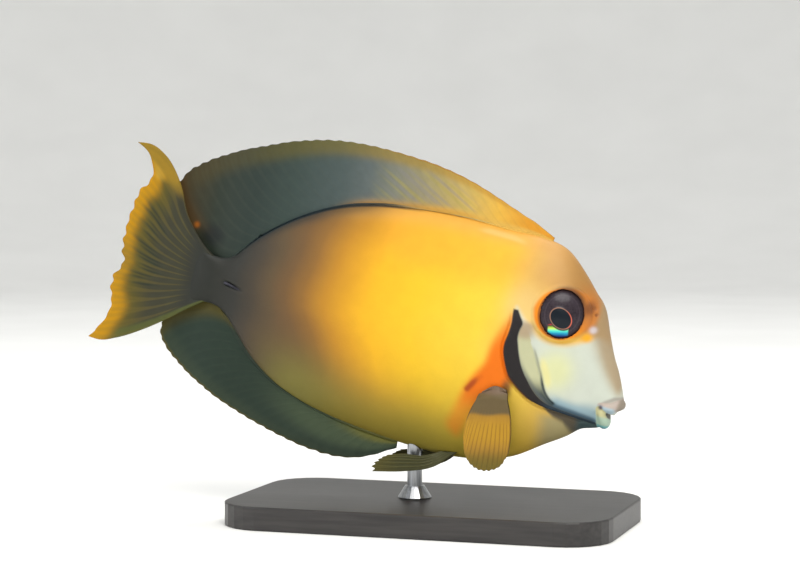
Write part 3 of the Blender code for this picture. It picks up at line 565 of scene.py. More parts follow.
# Markings that follow the outline: from which to which height share they rise, and from where to where
# along the fish they rise and fall
FAR_BACK, FAR_AHEAD = (-99, -98), (98, 99)
ZONES = {
    "upper_warm": (0.3, 0.75, 28, 42, 64, 72), "top_peach": (0.78, 1.0, 14, 30, *FAR_AHEAD),
    # The grey on top behind the body is partly painted shade under the dorsal fin.
    "top_grey": (0.78, 1.0, *FAR_BACK, 24, 42), "forehead": (0.2, 0.75, 58, 74, 86.5, 90),
    "brow": (0.3, 0.85, 68, 81, 83, 87), "face_front": (0.05, 0.9, 79, 84, 90, 92),
}
# Round markings: the middle's x and z, and how far they reach ahead and up
SPOTS = {
    "face_yellow": (77.5, 1.5, 4.0, 4.5), "temple": (69, 13, 5, 6), "root_brown": (68.6, -4.9, 1.2, 2.4),
    "pale_spot": (82.8, 11.5, 0.8, 0.8), "nostril": (81.0, 15.6, 1.1, 1.7), "eye_yellow": (82.0, 9.7, 1.2, 1.0),
}
# The line along the back where a pale highlight is painted
RIDGE = [(52, 25.4), (58, 25.6), (64, 25.2), (67, 24.2)]
FACE = [(66.8, 12.4), (69.9, 9.6), (73.3, 7.2), (78.0, 7.0), (81.4, 8.5), (84.2, 10.2), (88.0, 8.0), (95.0, 4.0),
        (95.0, -12.0), (87.0, -8.2), (79.0, -6.6), (73.0, -3.4), (67.6, 5.0), (66.8, 12.4)]
ORANGE = [(66.4, 10.5), (64.8, 7.0), (63.8, 3.5), (63.3, -0.5), (61.6, -3.7), (60.3, -6.6), (59.2, -9.7),
        (58.2, -12.7), (57.6, -15.8), (59.6, -17.6), (62.6, -12.0), (65.8, -6.3), (68.3, -4.8), (67.5, 3.3),
        (66.4, 10.5)]
AXIL = [(60.6, -6.9), (62.0, -4.6), (63.0, -3.6)]
# How far below the band's line the painted shade under the chin reaches, along the fish
CHIN_DEPTH = [(76, 0.4), (77.5, 1.0), (79, 2.2), (81, 2.8), (82.5, 5.0), (84, 8.0)]
# Width of the orange ring around the eye, for directions in degrees up from straight ahead
EYE_RING = [(-180, 2.1), (-140, 1.2), (-100, 0.5), (-60, 0.65), (-30, 1.8), (0, 3.0), (30, 3.0), (60, 1.4), (90, 0.6),
        (120, 0.6), (150, 1.4), (180, 2.1)]


def past_opening(ahead, above):
    """How far a place is outside the opening of the eye, in about millimetres."""
    return (np.hypot(ahead / EYE_OPEN_AHEAD, above / EYE_OPEN_UP) - 1) * EYE_OPEN_AHEAD


def read_off(value, table):
    """The table's second column at a value of its first."""
    return np.interp(value, *np.array(table, float).T)


def fields_of_skin(p):
    """The places of the skin's markings, painted shade and painted highlights, from its points before the bend."""
    x, y, z = p.T
    share = height_share(x, z)
    upper, lower = ease(share, 0.3, 0.85), ease(-share, 0.0, 0.6)
    shift = 0.2 * upper * np.clip(x - 10, 0, 40) + 7.5 * lower * ease(x, 8, 25)
    fields = {name: ease(share, low, high) * span(x, *reach) for name, (low, high, *reach) in ZONES.items()}
    for name, (middle_x, middle_z, wide, high) in SPOTS.items():
        fields[name] = spot(x, z, (middle_x, middle_z), wide, high)
    ridge, along = line_field(x, z, fine(RIDGE))
    outer, inner = (line_field(x, z, fine(line))[0] for line in (BAND_OUTER, BAND_INNER))
    band = np.minimum(np.minimum(outer, -inner), 11.9 - z)
    cheek = ease(inner, -0.3, 0.2) * (x > 66)
    low_front = ease(x, 75.5, 79.5)
    crease, along_crease = line_field(x, z, fine(CREASE))
    between = cheek * ease(-crease, -0.1, 0.5) * fade(x, 77.5, 80.5)
    chin_depth = read_off(x, CHIN_DEPTH)
    axil, along_axil = line_field(x, z, AXIL)
    ahead, above = x - EYE_X, z - EYE_Z
    turn = np.degrees(np.arctan2(above, ahead))
    beyond = past_opening(ahead, above)
    ring = read_off(turn, EYE_RING)
    fields["forehead"] = np.maximum(fields["forehead"], ease(x, 76, 79) * ease(z, 8, 11))
    fields["eye_yellow"] = np.clip(fields["eye_yellow"] + 0.5 * bump_at((turn + 70) / 40, 1.0)
                                   * bump_at(beyond - 0.8, 0.4), 0, 1)
    for nx, nz, size in NOSTRILS:
        fields["nostril"] = np.maximum(fields["nostril"], 0.8 * bump_at(np.hypot(x - nx, z - nz), size))
    fields.update(
        along=x + 0.5 * np.sin(z * 0.5) - shift,
        belly_olive=(ease(-share, 0.12, 1.05) * ease(x, 6, 24) * (1 - 0.35 * ease(x, 48, 70))
                     * (1 - 0.45 * ease(x, 69, 73)) * fade(x, 84, 87)),
        # Painted shade in the crease under the dorsal fin's root.
        dorsal_line=ease(z - back(x), -0.9, -0.25) * span(x, 2, 6, 32, 46),
        # A painted highlight along the ridge of the back.
        ridge=bump_at(ridge, 0.6) * span(along, 0, 0.3, 0.6, 1.0),
        band=np.where((x > 87.8) | (x < 65), -1, band),
        band_blue=ease(band, -0.25, 0.25) * ease(x, 74.5, 79) * (x < 87.8),
        band_maroon=bump_at(outer + 0.05, 0.3) * span(x, 66.8, 69.5, 72, 76) * (z < 3),
        # Painted shade along the band's inner edge, low on the cheek.
        band_haze=cheek * fade(inner, 0.0, 1.3) * ease(-z, -5, 3) * (1 - low_front),
        face=area_field(x, z, fine(FACE, 160)[:-1]),
        face_low=cheek * fade(inner, 0.5, 3.6 + 1.8 * ease(x, 82, 87)) * low_front,
        face_blue=cheek * fade(inner, 0.0, 1.5) * low_front,
        # Painted shade in the crease's groove, strong low down and faint higher up.
        crease=bump_at(crease, 0.14 + 0.34 * along_crease) * span(along_crease, 0.4, 0.65, 0.93, 1.0),
        crease_faint=bump_at(crease, 0.3) * span(along_crease, 0.0, 0.2, 0.5, 0.75),
        cheek_grey=between * fade(z, 8, 10),
        cheek_tan=cheek * span(z, 5.0, 8.0, 9, 11) * fade(x, 70, 73),
        cheek_shade=between * ease(-z, -0.3, 5.2),
        # A painted highlight on the rise just ahead of the crease.
        cheek_yellow=bump_at(crease - 1.1, 0.9) * span(along_crease, 0.15, 0.4, 0.55, 0.8),
        # Painted shade under the chin, below the band's line.
        chin=fade(np.maximum(-outer, 0), 0.3 * chin_depth, chin_depth) * ease(x, 75.5, 78) * (outer < 0.3),
        chin_front=ease(x, 82.5, 85.0) * (outer < 0.2),
        throat=ease(-outer, -0.2, 2.6) * ease(x, 73.5, 80) * (z < 0),
        orange=(ease(area_field(x, z, fine(ORANGE, 120)[:-1]), -2.0, 1.4)
                * (1 - 0.5 * ease(-z, 5.0, 13.0)) * (0.75 + 0.25 * ease(-z, -8, 0))),
        axil=bump_at(axil, 0.7) * (1 - 0.7 * ease(along_axil, 0.4, 1.0)),
        eye_ring=fade(beyond, 0.25 * ring, ring),
        eye_front=bump_at((turn - 20) / 46, 1.0) * fade(beyond, 1.6, 3.6),
        eye_rim=fade(beyond, 0.0, 0.45),
        eye_lid=fade(beyond, 0.1, 1.3) * bump_at((turn - 72) / 56, 1.0),
        slit=1 - spine_slot(x, z) * 1.1,
        **lip_fields(p))
    return fields


def spine_slot(x, z):
    """0 in the middle of the spine's slot and 1 at its rim."""
    along, across = rotated(x - SPINE_X, z - SPINE_Z, -SPINE_SLANT)
    return np.hypot(along / 2.5, across / 0.62)


def lip_fields(p):
    """Closeness to the lips, and to the corner, the groove and the gape of the mouth, with painted shade in the
    corner and the groove and on the upper lip's front end.
    """
    x, y, z = p.T
    near = x > 85
    ahead = stacked(x[near], np.abs(y[near]), z[near])

    def closeness(half):
        route = path(half)(np.linspace(0, 1, 24))
        gap = np.linalg.norm(ahead[:, None] - route[None, :, :3], axis=2) - route[None, :, 3]
        close = np.zeros(len(x))
        close[near] = fade(gap.min(axis=1), 0.15, 0.55)
        return close

    upper, lower = closeness(UPPER_LIP), closeness(LOWER_LIP)
    groove = line_field(x, z, [(87.9, -3.2), (89.0, -2.3), (90.3, -1.4), (92.2, -1.0)])[0]
    along, across = rotated(x - MOUTH_SLIT[0], z - MOUTH_SLIT[2], -MOUTH_SLANT)
    slit = np.linalg.norm(stacked(along, y, across) / np.array(MOUTH_SLIT_SIZE), axis=-1)
    return {
        "lip_upper": upper,
        "lip_lower": lower,
        "lip_pale": upper * ease(-z, 2.9, 3.8) * fade(x, 90.4, 91.6),
        # The upper lip's front end is darkened with painted shade.
        "lip_tip": upper * ease(x, 90.6, 91.9),
        "lip_fold": lower * fade(-z, 5.0, 6.2),
        "lip_cyan": lower * ease(-z, 7.0, 7.8),
        "lip_under": lower * ease(-z, 7.7, 8.3),
        # A painted shadow in the groove over the upper lip, and painted shade in the mouth's corner.
        "lip_groove": bump_at(groove, 0.5) * ease(x, 87.6, 88.2),
        "mouth_corner": spot(x, z, (88.0, -3.7), 0.55, 0.55),
        "gape": fade(slit, 0.98, 1.12) * fade(np.abs(y), 1.9, 2.6),
    }


def skin_relief(p):
    """How far the skin stands above the plain body, in millimetres."""
    x, y, z = p.T
    rear, share = line_field(x, z, fine(BAND_OUTER))
    ends = span(share, 0.0, 0.10, 0.90, 1.0)
    relief = ends * (0.5 * span(rear, -0.12, 0.14, 0.6, 6.5) - 0.42 * bump_at(rear + 0.34, 0.26))
    crease, share_c = line_field(x, z, fine(CREASE))
    relief -= 0.30 * bump_at(crease, 0.28) * span(share_c, 0.0, 0.35, 0.93, 1.0)
    relief += 0.16 * bump_at(crease - 0.8, 0.6) * span(share_c, 0.0, 0.35, 0.9, 1.0)
    for nx, nz, size in NOSTRILS:
        away = np.hypot(x - nx, z - nz)
        relief += 0.08 * bump_at(away - size * 1.5, size * 0.5) - 0.25 * bump_at(away, size * 0.75)
    slit = spine_slot(x, z)
    relief -= 0.42 * fade(slit, 0.5, 1.2) - 0.04 * bump_at(slit - 1.5, 0.35)
    corner, corner_share = line_field(x, z, [(87.7, -4.0), (87.1, -5.2), (87.2, -6.8)])
    relief -= 0.15 * bump_at(corner, 0.3) * fade(corner_share, 0.7, 1.0)
    return relief - 0.24 * fade(x, -6.4, -4.0)


def make_skin():
    stations = np.concatenate([np.linspace(-6.4, 84, 190), 84 + (SNOUT_X - 0.03 - 84)
                               * np.sin(np.linspace(0, math.pi / 2, 60))[1:]])
    body = ring_loft("skin_form", body_points(stations[:, None], circle(160)))
    extras, cuts = [], []
    for half in (UPPER_LIP, LOWER_LIP):
        route = half + [(x, -y, z, r) for x, y, z, r in half[-2::-1]]
        line = path(route)(np.linspace(0, 1, 60))
        extras.append(tube("lip", line[:, :3], line[:, 3]))
    for side in (-1, 1):
        centre, normal = eye_frame(side)
        extras.append(ellipsoid("orbit", centre, (ORBIT_RADIUS, ORBIT_RADIUS, ORBIT_HALF_DEPTH), normal))
        cuts.append(ellipsoid("socket", centre, SOCKET_SIZE, normal))
    cuts.append(ellipsoid("gape", MOUTH_SLIT, MOUTH_SLIT_SIZE, (math.sin(MOUTH_SLANT), 0, math.cos(MOUTH_SLANT))))
    combine(body, extras, "UNION")
    combine(body, cuts, "DIFFERENCE")
    remesh = body.modifiers.new("even", "REMESH")
    remesh.mode, remesh.voxel_size = "VOXEL", VOXEL
    soften = body.modifiers.new("soften", "SMOOTH")
    soften.factor, soften.iterations = 0.5, SMOOTH_STEPS
    mesh = evaluated(body)
    bpy.data.objects.remove(body)
    points = vectors(mesh.vertices, "co")
    fields = fields_of_skin(points)
    points = points + vectors(mesh.vertex_normals, "vector") * skin_relief(points)[:, None]
    faces = [list(f.vertices) for f in mesh.polygons]
    return piece("skin", bend(points), faces, skin_material(),
                 ["head", "trunk", "tail_stock", "gill_cover_left", "gill_cover_right"], fields)


def eye_frame(side):
    """Centre and outward direction of an eye."""
    normal = flank_normal(EYE_X, EYE_Z, EYE_RADIUS)
    centre = np.array([EYE_X, float(flank(EYE_X, EYE_Z)), EYE_Z]) - np.array(normal) * EYE_SINK
    return mirrored(centre, side), Vector((normal.x, side * normal.y, normal.z))


# Eyes

# How deep the hidden rear of an eye is against its front
EYE_REAR_SHARE = 0.5
PUPIL_FORWARD, PUPIL_UP = -0.05, -0.95
PUPIL_LONG, PUPIL_SHORT, PUPIL_TILT = 2.3, 1.85, math.radians(-28)


def eye_material():
    nodes = Nodes("eye_glossy")
    iris = nodes.mottled(nodes.noise(0.5, 3.0), (38, 31, 37), (54, 45, 52))
    rainbow = nodes.ramp(nodes.attribute("rainbow"), [
        (0.0, (20, 60, 130)), (0.3, (30, 150, 190)), (0.55, (80, 226, 200)), (0.8, (190, 232, 90)),
        (1.0, (120, 130, 50))])
    colour = nodes.layers(iris, {
        "rim": (40, 28, 30, 0.7), "sheen": (66, 58, 66, 0.3), "ring": (76, 66, 72, 0.35),
    })
    colour = nodes.mix(nodes.step(nodes.attribute("crescent"), 0.0, 0.35, 1.0), colour, rainbow)
    colour = nodes.layers(colour, {
        "red_line": (176, 44, 52, 0.9), "pupil_ring": (146, 108, 88, 0.9), "pupil_salmon": (196, 92, 72, 1.0),
        "pupil": (16, 24, 32, 1.0, -0.05, 0.08),
    })
    return nodes.finish(colour, Roughness=0.3, Specular_IOR_Level=0.15, Coat_Weight=0.1, Coat_Roughness=0.08)


def make_eye(side, material):
    centre, normal = eye_frame(side)
    normal = np.array(normal)
    forward = unit(np.array([1.0, 0, 0]) - normal[0] * normal)
    up = np.array([0, 0, 1.0]) - normal[2] * normal
    up = unit(up - (up @ forward) * forward)
    radii = EYE_RADIUS * np.sin(np.linspace(0, math.pi / 2, 80))[1:]
    angles = circle(160)
    ahead, above = radii[:, None] * np.cos(angles), radii[:, None] * np.sin(angles)
    dome = EYE_HALF_DEPTH * np.sqrt(np.maximum(1 - (radii / EYE_RADIUS) ** 2, 0))[:, None] + 0 * angles
    pupil_x, pupil_z = rotated(ahead - PUPIL_FORWARD, above - PUPIL_UP, PUPIL_TILT)
    share = np.hypot(pupil_x / PUPIL_LONG, pupil_z / PUPIL_SHORT)
    outside = (share - 1) * 0.5 * (PUPIL_LONG + PUPIL_SHORT)
    # The dome, with a low ridge around the pupil, which bulges
    height = (0.98 * dome + 0.05 * bump_at(outside - 0.1, 0.16) + 0.16 * np.maximum(1 - share ** 2, 0)
              - 0.05 * ease(outside, 0, 0.8))

    def sheet(depth):
        return centre + ahead[..., None] * forward + above[..., None] * up + depth[..., None] * normal

    rear = sheet(-EYE_REAR_SHARE * dome)[:-1]
    rings = np.concatenate([rear, sheet(height)[::-1]])
    points = np.concatenate([rings.reshape(-1, 3), [centre - EYE_REAR_SHARE * EYE_HALF_DEPTH * normal],
                             [centre + height[0, 0] * normal]])

    def over(values, at_rear=0, at_tip=0):
        """Values on the front, one value for the hidden rear, and one for the tip."""
        return np.concatenate([np.full(len(rear) * len(angles), at_rear), values[::-1].ravel(), [at_rear, at_tip]])

    # Across and down in the picture, which the fish's pitch turns against its own frame
    across, risen = rotated(ahead, above, FISH_PITCH)
    down = -risen
    edge = past_opening(ahead, above)
    slant = down + 0.16 * (across + 0.5)
    crescent = np.minimum(np.minimum(-0.05 - edge, outside - 0.28), slant - 2.0)
    crescent = np.minimum(crescent, np.minimum(across + 3.0, 1.5 - across))
    pupil_rim = bump_at(outside - 0.1, 0.11)
    fields = {
        "rim": over(ease(edge, -0.6, -0.05), 1),
        "sheen": over(bump_at(edge + 1.3, 0.4) * ease(above, 0.2, 3.2)),
        "ring": over(bump_at(edge + 0.85, 0.14) * ease(outside, 0.2, 0.8)),
        "crescent": over(crescent, -1, -1),
        "rainbow": over(np.clip((4.5 - down) / 1.9, 0, 1)),
        "red_line": over(bump_at(slant - 1.9, 0.12) * ease(outside, 0.2, 0.5) * span(across, -3.2, -2.4, -0.6, 0.4)),
        "pupil_ring": over(pupil_rim),
        "pupil_salmon": over(pupil_rim * ease(across, 0.3, 1.8)),
        "pupil": over(-outside, -1, 1),
    }
    name = SIDES[side]
    piece(f"eyeball_{name}", points, closed_faces(*rings.shape[:2]), material, [f"eye_{name}"], fields)


# Fins

def patch(root, edge, first, last):
    """The sheet between four curves that meet at their ends, in the fish's side view."""
    def point(u, v):
        uu, vv = u[..., None], v[..., None]
        across = (1 - vv) * root(u) + vv * edge(u)
        along = (1 - uu) * first(v) + uu * last(v)
        corners = ((1 - uu) * ((1 - vv) * first(0) + vv * first(1))
                   + uu * ((1 - vv) * last(0) + vv * last(1)))
        return across + along - corners
    return point


def fan(pole, root_x, low, top, edge):
    """The sheet between two leading edges, with rays that spread from the pole and keep their share."""
    pole = np.array(pole)

    def polar(points):
        spokes = [pole - np.array(p, float) for p in points]
        return [(float(np.hypot(*s)), math.atan2(-s[1], s[0])) for s in spokes]

    low_angle, top_angle = smooth(polar(low)), smooth(polar(top))
    shares = []
    for radius, angle in polar(edge):
        shares.append(((angle - low_angle(radius)) / (top_angle(radius) - low_angle(radius)), radius))
    reach = smooth(shares)

    def point(u, v):
        start = (pole[0] - root_x) * (1 + TAIL_ROOT_CURVE * (2 * u - 1) ** 2)
        radius = start + (reach(u) - start) * v
        angle = low_angle(radius) + (top_angle(radius) - low_angle(radius)) * u
        return stacked(pole[0] - radius * np.cos(angle), pole[1] + radius * np.sin(angle))
    return point


# Thickness of the membrane between the rays, and at the outer edge
MEMBRANE, FIN_RIM = 0.22, 0.12


def uneven_rows(name, count):
    """Steady random values from 0 to 1, one for each ray."""
    return np.random.default_rng(sum(map(ord, name))).random(count)


def ray_pattern(u, v, rays, split):
    """How near each place is to a ray: the distance in shares of a ray's room, rays parting in two at split."""
    run = u * (rays - 1)
    off = run - np.round(run)
    parting = 0.25 * ease(v, split, 1.05)
    return np.minimum(np.abs(off - parting), np.abs(off + parting))


def fin(name, surface, place, rays, material, node, more_fields, cells=8, rows=90, ray=0.42, root=1.2,
        root_share=0.12, sink=0.9, split=0.5, notch=0.5, uneven=1.2, rib=0.13, ray_start=0.05):
    """A thin fin with rays raised on both faces, its root sunk in the skin and its edge notched."""
    u, v = np.meshgrid(np.linspace(0, 1, (rays - 1) * cells + 1), np.linspace(0, 1, rows))
    near, run = ray_pattern(u, v, rays, split), u * (rays - 1)
    depth = notch * np.interp(run, np.arange(rays), 1 + uneven * (uneven_rows(name, rays) - 0.5))
    pull = depth * (1 - np.cos(2 * math.pi * (run - np.round(run)))) / 2 * v ** 8
    tip, base = surface(u, v), surface(u, 0 * v)
    reach = np.linalg.norm(tip - base, axis=-1)
    flat = tip + (base - tip) * (pull / np.maximum(reach, 1.0))[..., None]
    first = surface(u[:1], 0 * v[:1])
    inward = unit(first - surface(u[:1], 0 * v[:1] + 0.04))
    flat = np.concatenate([first + inward * sink, flat])
    u, v, near = (np.concatenate([grid[:1], grid]) for grid in (u, v, near))
    middle = place(flat, u, v)
    normal = unit(np.cross(np.gradient(middle, axis=1), np.gradient(middle, axis=0)))
    raised = bump_at(near, rib + 0.05 * v) * ease(v, 0.2 * ray_start, ray_start)
    thick = MEMBRANE + (ray - MEMBRANE) * raised * (1 - 0.7 * v)
    thick = np.maximum(thick, MEMBRANE + (root - MEMBRANE) * fade(v, 0, root_share))
    side_edge = np.minimum(u, 1 - u) * (rays - 1)
    thick = thick * (1 - (1 - FIN_RIM / MEMBRANE) * ease(v, 0.93, 1.0)) * (0.45 + 0.55 * ease(side_edge, 0, 0.25))
    half = normal * thick[..., None] / 2
    n_rows, n_columns = thick.shape
    count = n_rows * n_columns
    faces = grid_faces(n_rows, n_columns) + [f[::-1] for f in grid_faces(n_rows, n_columns, first=count)]
    index = np.arange(count).reshape(n_rows, n_columns)
    border = [*index[0], *index[1:, -1], *index[-1, -2::-1], *index[-2:0:-1, 0]]
    for a, b in zip(border, border[1:] + border[:1]):
        faces.append([int(b), int(a), int(a) + count, int(b) + count])
    fields = {"out": v, "ray": raised, **more_fields(flat, u, v)}
    fields = {key: np.concatenate([values.ravel()] * 2) for key, values in fields.items()}
    points = np.concatenate([(middle + half).reshape(-1, 3), (middle - half).reshape(-1, 3)])
    piece(name, points, faces, material, [node], fields)


def fin_material(nodes, colour, layers, ray_tint, ray_amount):
    """A membrane: its base colour, layers of markings and painted shade, and the colour of its rays."""
    colour = nodes.layers(colour, layers)
    colour = nodes.mix(nodes.step(nodes.attribute("ray"), 0.15, 0.95, ray_amount), colour, rgb(*ray_tint))
    colour = speckled(nodes, colour, 1.8, 0.08)
    normal = bumped(nodes, nodes.noise(0.35), 0.25, 0.05)
    return nodes.finish(colour, Roughness=0.5, Normal=normal, Specular_IOR_Level=0.18)


def median_place(root_x):
    def place(flat, u, v):
        points = bend(stacked(flat[..., 0], 0, flat[..., 1]))
        points[..., 1] += LOBE_LAG * ease((root_x[1] + LOBE_AHEAD - flat[..., 0]) / LOBE_LENGTH) ** LOBE_CURVE
        return points
    return place


def median_surface(root_x, edge, rear, profile):
    def root(u):
        x = root_x[0] + (root_x[1] - root_x[0]) * np.asarray(u, float)
        return stacked(x, profile(x))
    edge_path = path(edge)
    rear_path = path([tuple(root(1))] + rear[1:])
    front_path = path([tuple(root(0)), edge[0]])
    return patch(root, lambda u: edge_path(np.asarray(u, float) ** RAY_LEAN), front_path, rear_path)


# Length of the dorsal fin over one dark and one pale streak, in millimetres
STREAK_PERIOD = 6.8


def dorsal_fields(flat, u, v):
    x, z = flat[..., 0], flat[..., 1]
    lean = (x + 2.0 * z) * 2 * math.pi / STREAK_PERIOD
    wave = 0.75 * np.sin(lean + 2.1 * np.sin(lean * 0.37)) + 0.35 * np.sin(lean * 2.3 + 1.0)
    streaked = span(x, 26, 36, 44, 58) * span(v, 0.16, 0.40, 0.66, 0.95)
    return {
        "along": x + 1.5 * v,
        "streak": ease(wave, 0.0, 1.0) * streaked,
        "streak_lilac": ease(-wave, 0.0, 1.0) * streaked,
        "base_band": fade(v, 0.12, 0.40) * ease(x, 32, 48),
        "base_warm": bump_at(v - 0.13, 0.14) * span(x, 18, 30, 46, 58),
        "base_pale": bump_at(v - 0.065, 0.045) * span(x, 20, 30, 50, 60),
        # Painted shade in the crease at the fin's root.
        "base_line": fade(v, 0.02, 0.07) * span(x, 3, 6, 28, 42),
        "edge": ease(v, 0.72, 0.96),
        "edge_line": ease(v, 0.955, 0.995) * ease(x, 20, 45),
        "edge_along": x,
        # A painted shadow at the fin's low rear corner, by the tail's stock.
        "blotch": spot(x, z, (-4.2, 9.4), 3.0, 2.6),
        "rear_brown": ease(u, 0.94, 0.995) * ease(z, 8, 12),
        "rear_spot": spot(x, z, (-8.5, 10.6), 0.7, 0.7),
    }


DORSAL_RAMP = [(-12, (66, 58, 36)), (-4, (40, 50, 42)), (4, (41, 55, 52)), (12, (55, 71, 68)), (22, (74, 88, 88)),
        (28, (94, 104, 104)), (34, (128, 130, 114)), (42, (164, 152, 108)), (50, (204, 176, 98)),
        (57, (236, 186, 74)), (64, (230, 160, 44))]
DORSAL_EDGE_RAMP = [(-12, (66, 58, 34)), (0, (70, 68, 42)), (10, (90, 86, 44)), (20, (110, 102, 56)),
        (30, (146, 126, 64)), (40, (168, 140, 66)), (50, (198, 154, 62)), (60, (220, 160, 52))]


def dorsal_material():
    nodes = Nodes("dorsal_membrane")
    colour = nodes.ramp(nodes.attribute("along"), DORSAL_RAMP)
    rim = nodes.ramp(nodes.attribute("edge_along"), DORSAL_EDGE_RAMP)
    colour = nodes.mix(nodes.step(nodes.attribute("edge"), 0.0, 1.0, 0.9), colour, rim)
    return fin_material(nodes, colour, {
        "streak": (172, 160, 78, 0.42, -0.1, 1.0), "streak_lilac": (136, 132, 136, 0.40, -0.1, 1.0),
        "base_band": (230, 186, 88, 0.85), "base_warm": (214, 158, 62, 0.65, 0.0, 0.8),
        "base_pale": (176, 184, 140, 0.6), "edge_line": (166, 108, 26, 0.65),
        # The dark spot at the fin's rear corner is a painted shadow.
        "blotch": (30, 34, 36, 0.8, 0.1, 1.0), "rear_brown": (92, 66, 32, 0.6),
        # The dark line at the fin's root is painted shade in its crease.
        "rear_spot": (184, 104, 26, 0.85), "base_line": (28, 44, 50, 0.9),
    }, (92, 96, 80), 0.06)


def anal_fields(flat, u, v):
    x = flat[..., 0]
    return {
        "edge_olive": ease(v, 0.70, 0.97),
        "edge_gold": ease(v, 0.95, 0.995),
        # Painted shade in the crease at the fin's root.
        "base_line": fade(v, 0.02, 0.12),
        "rear_gold": ease(u, 0.90, 0.995),
        "front": ease(x, 6, 32) * fade(v, 0.4, 1.0),
        "root_olive": ease(x, 26, 44) * fade(v, 0.1, 0.5),
    }


def anal_material():
    return fin_material(Nodes("anal_membrane"), rgb(40, 55, 45), {
        "front": (76, 90, 66, 0.9), "root_olive": (122, 120, 54, 0.9), "edge_olive": (54, 66, 50, 0.7),
        # The dark at the fin's root is painted shade in its crease.
        "edge_gold": (92, 80, 30, 0.75), "rear_gold": (90, 80, 24, 0.85), "base_line": (50, 56, 44, 0.3),
    }, (66, 78, 60), 0.08)


TAIL_RAYS = 16


def tail_fields(flat, u, v):
    z = flat[..., 1]
    run = u * (TAIL_RAYS - 1)
    room = np.clip(np.floor(run * 2), 0, 2 * TAIL_RAYS - 3).astype(int)
    start, end, width, shown = (uneven_rows(word, 2 * TAIL_RAYS)[room] for word in ("start", "end", "wide", "some"))
    off = np.abs(run * 2 - room - 0.5)
    streak = (bump_at(off, 0.34 + 0.14 * width) * ease(v, 0.42 + 0.14 * start, 0.66 + 0.14 * start)
              * fade(v, 0.66 + 0.10 * end, 0.90 + 0.08 * end) * span(u, 0.2, 0.3, 0.78, 0.88)
              * (0.35 + 0.65 * (shown > 0.3)))
    horn = ease(z, 17.0, 20.5)
    wander = np.interp(run, np.arange(TAIL_RAYS), uneven_rows("margin", TAIL_RAYS)) - 0.5
    dull = bump_at((u - 0.44) / 0.10, 1.0)
    margin = ease(v + 0.06 * wander - 0.04 * dull, 0.74, 0.98)
    return {
        "margin": np.maximum(margin, horn),
        "dull": dull * margin,
        "root": fade(v, 0.12, 0.42),
        "warm": ease(v, 0.50, 0.90),
        "streak": streak * (1 - horn),
        "horn_pale": horn * bump_at(u - 0.90, 0.05) * span(v, 0.72, 0.85, 0.93, 1.0),
        "horn_olive": ease(z, 14.0, 19.0) * ease(u, 0.90, 0.97),
        "lead_olive": fade(u, 0.02, 0.07) * fade(v, 0.75, 0.95),
        "lead_top": ease(u, 0.93, 0.985) * fade(v, 0.5, 0.8),
    }


def tail_material():
    return fin_material(Nodes("tail_membrane"), rgb(62, 62, 47), {
        "root": (50, 52, 47, 0.95), "warm": (96, 86, 28, 0.85), "lead_olive": (88, 94, 46, 0.85),
        "lead_top": (54, 54, 42, 0.85), "margin": (200, 144, 8, 1.0), "dull": (140, 112, 34, 0.7),
        "streak": (38, 50, 40, 0.85), "horn_pale": (206, 168, 66, 0.7), "horn_olive": (150, 122, 38, 0.85),
    }, (128, 110, 40), 0.22)


def pectoral_fields(flat, u, v):
    off = np.abs(u * 14 - np.round(u * 14))
    # Down in the picture, from the level of the hinge
    down = -rotated(flat[..., 0] - PECTORAL_HINGE[0], flat[..., 1], FISH_PITCH)[1]
    return {
        "fleshy": fade(down + 0.15 * np.sin(u * 9), 9.7, 11.1),
        "root_pale": fade(down, 5.8, 7.2),
        "gaps": bump_at(0.5 - off, 0.12) * ease(down, 11.4, 13.0) * fade(v, 0.85, 1.0),
        "bright": bump_at((down - 14.0) / 3.0, 1.0),
        "lead_dark": fade(u, 0.01, 0.04),
        "trail_dark": ease(u, 0.965, 0.99) * fade(v, 0.5, 0.7),
        "tip": ease(down, 15.5, 21.5),
    }


def pectoral_material():
    return fin_material(Nodes("pectoral_membrane"), rgb(176, 130, 48), {
        "bright": (196, 148, 40, 0.9), "tip": (102, 94, 40, 0.95), "gaps": (120, 88, 32, 0.55),
        "fleshy": (106, 92, 64, 0.95), "root_pale": (126, 104, 86, 0.9), "lead_dark": (66, 54, 28, 0.85),
        "trail_dark": (84, 58, 34, 0.8),
    }, (204, 156, 52), 0.12)


def pelvic_material():
    return fin_material(Nodes("pelvic_membrane"), rgb(74, 74, 44), {
        "out": (96, 88, 40, 0.7, 0.6, 1.0),
    }, (110, 104, 60), 0.4)


def tail_place(flat, u, v):
    return bend(stacked(np.minimum(flat[..., 0], TAIL_ROOT_X + 2.0), 0, flat[..., 1]))


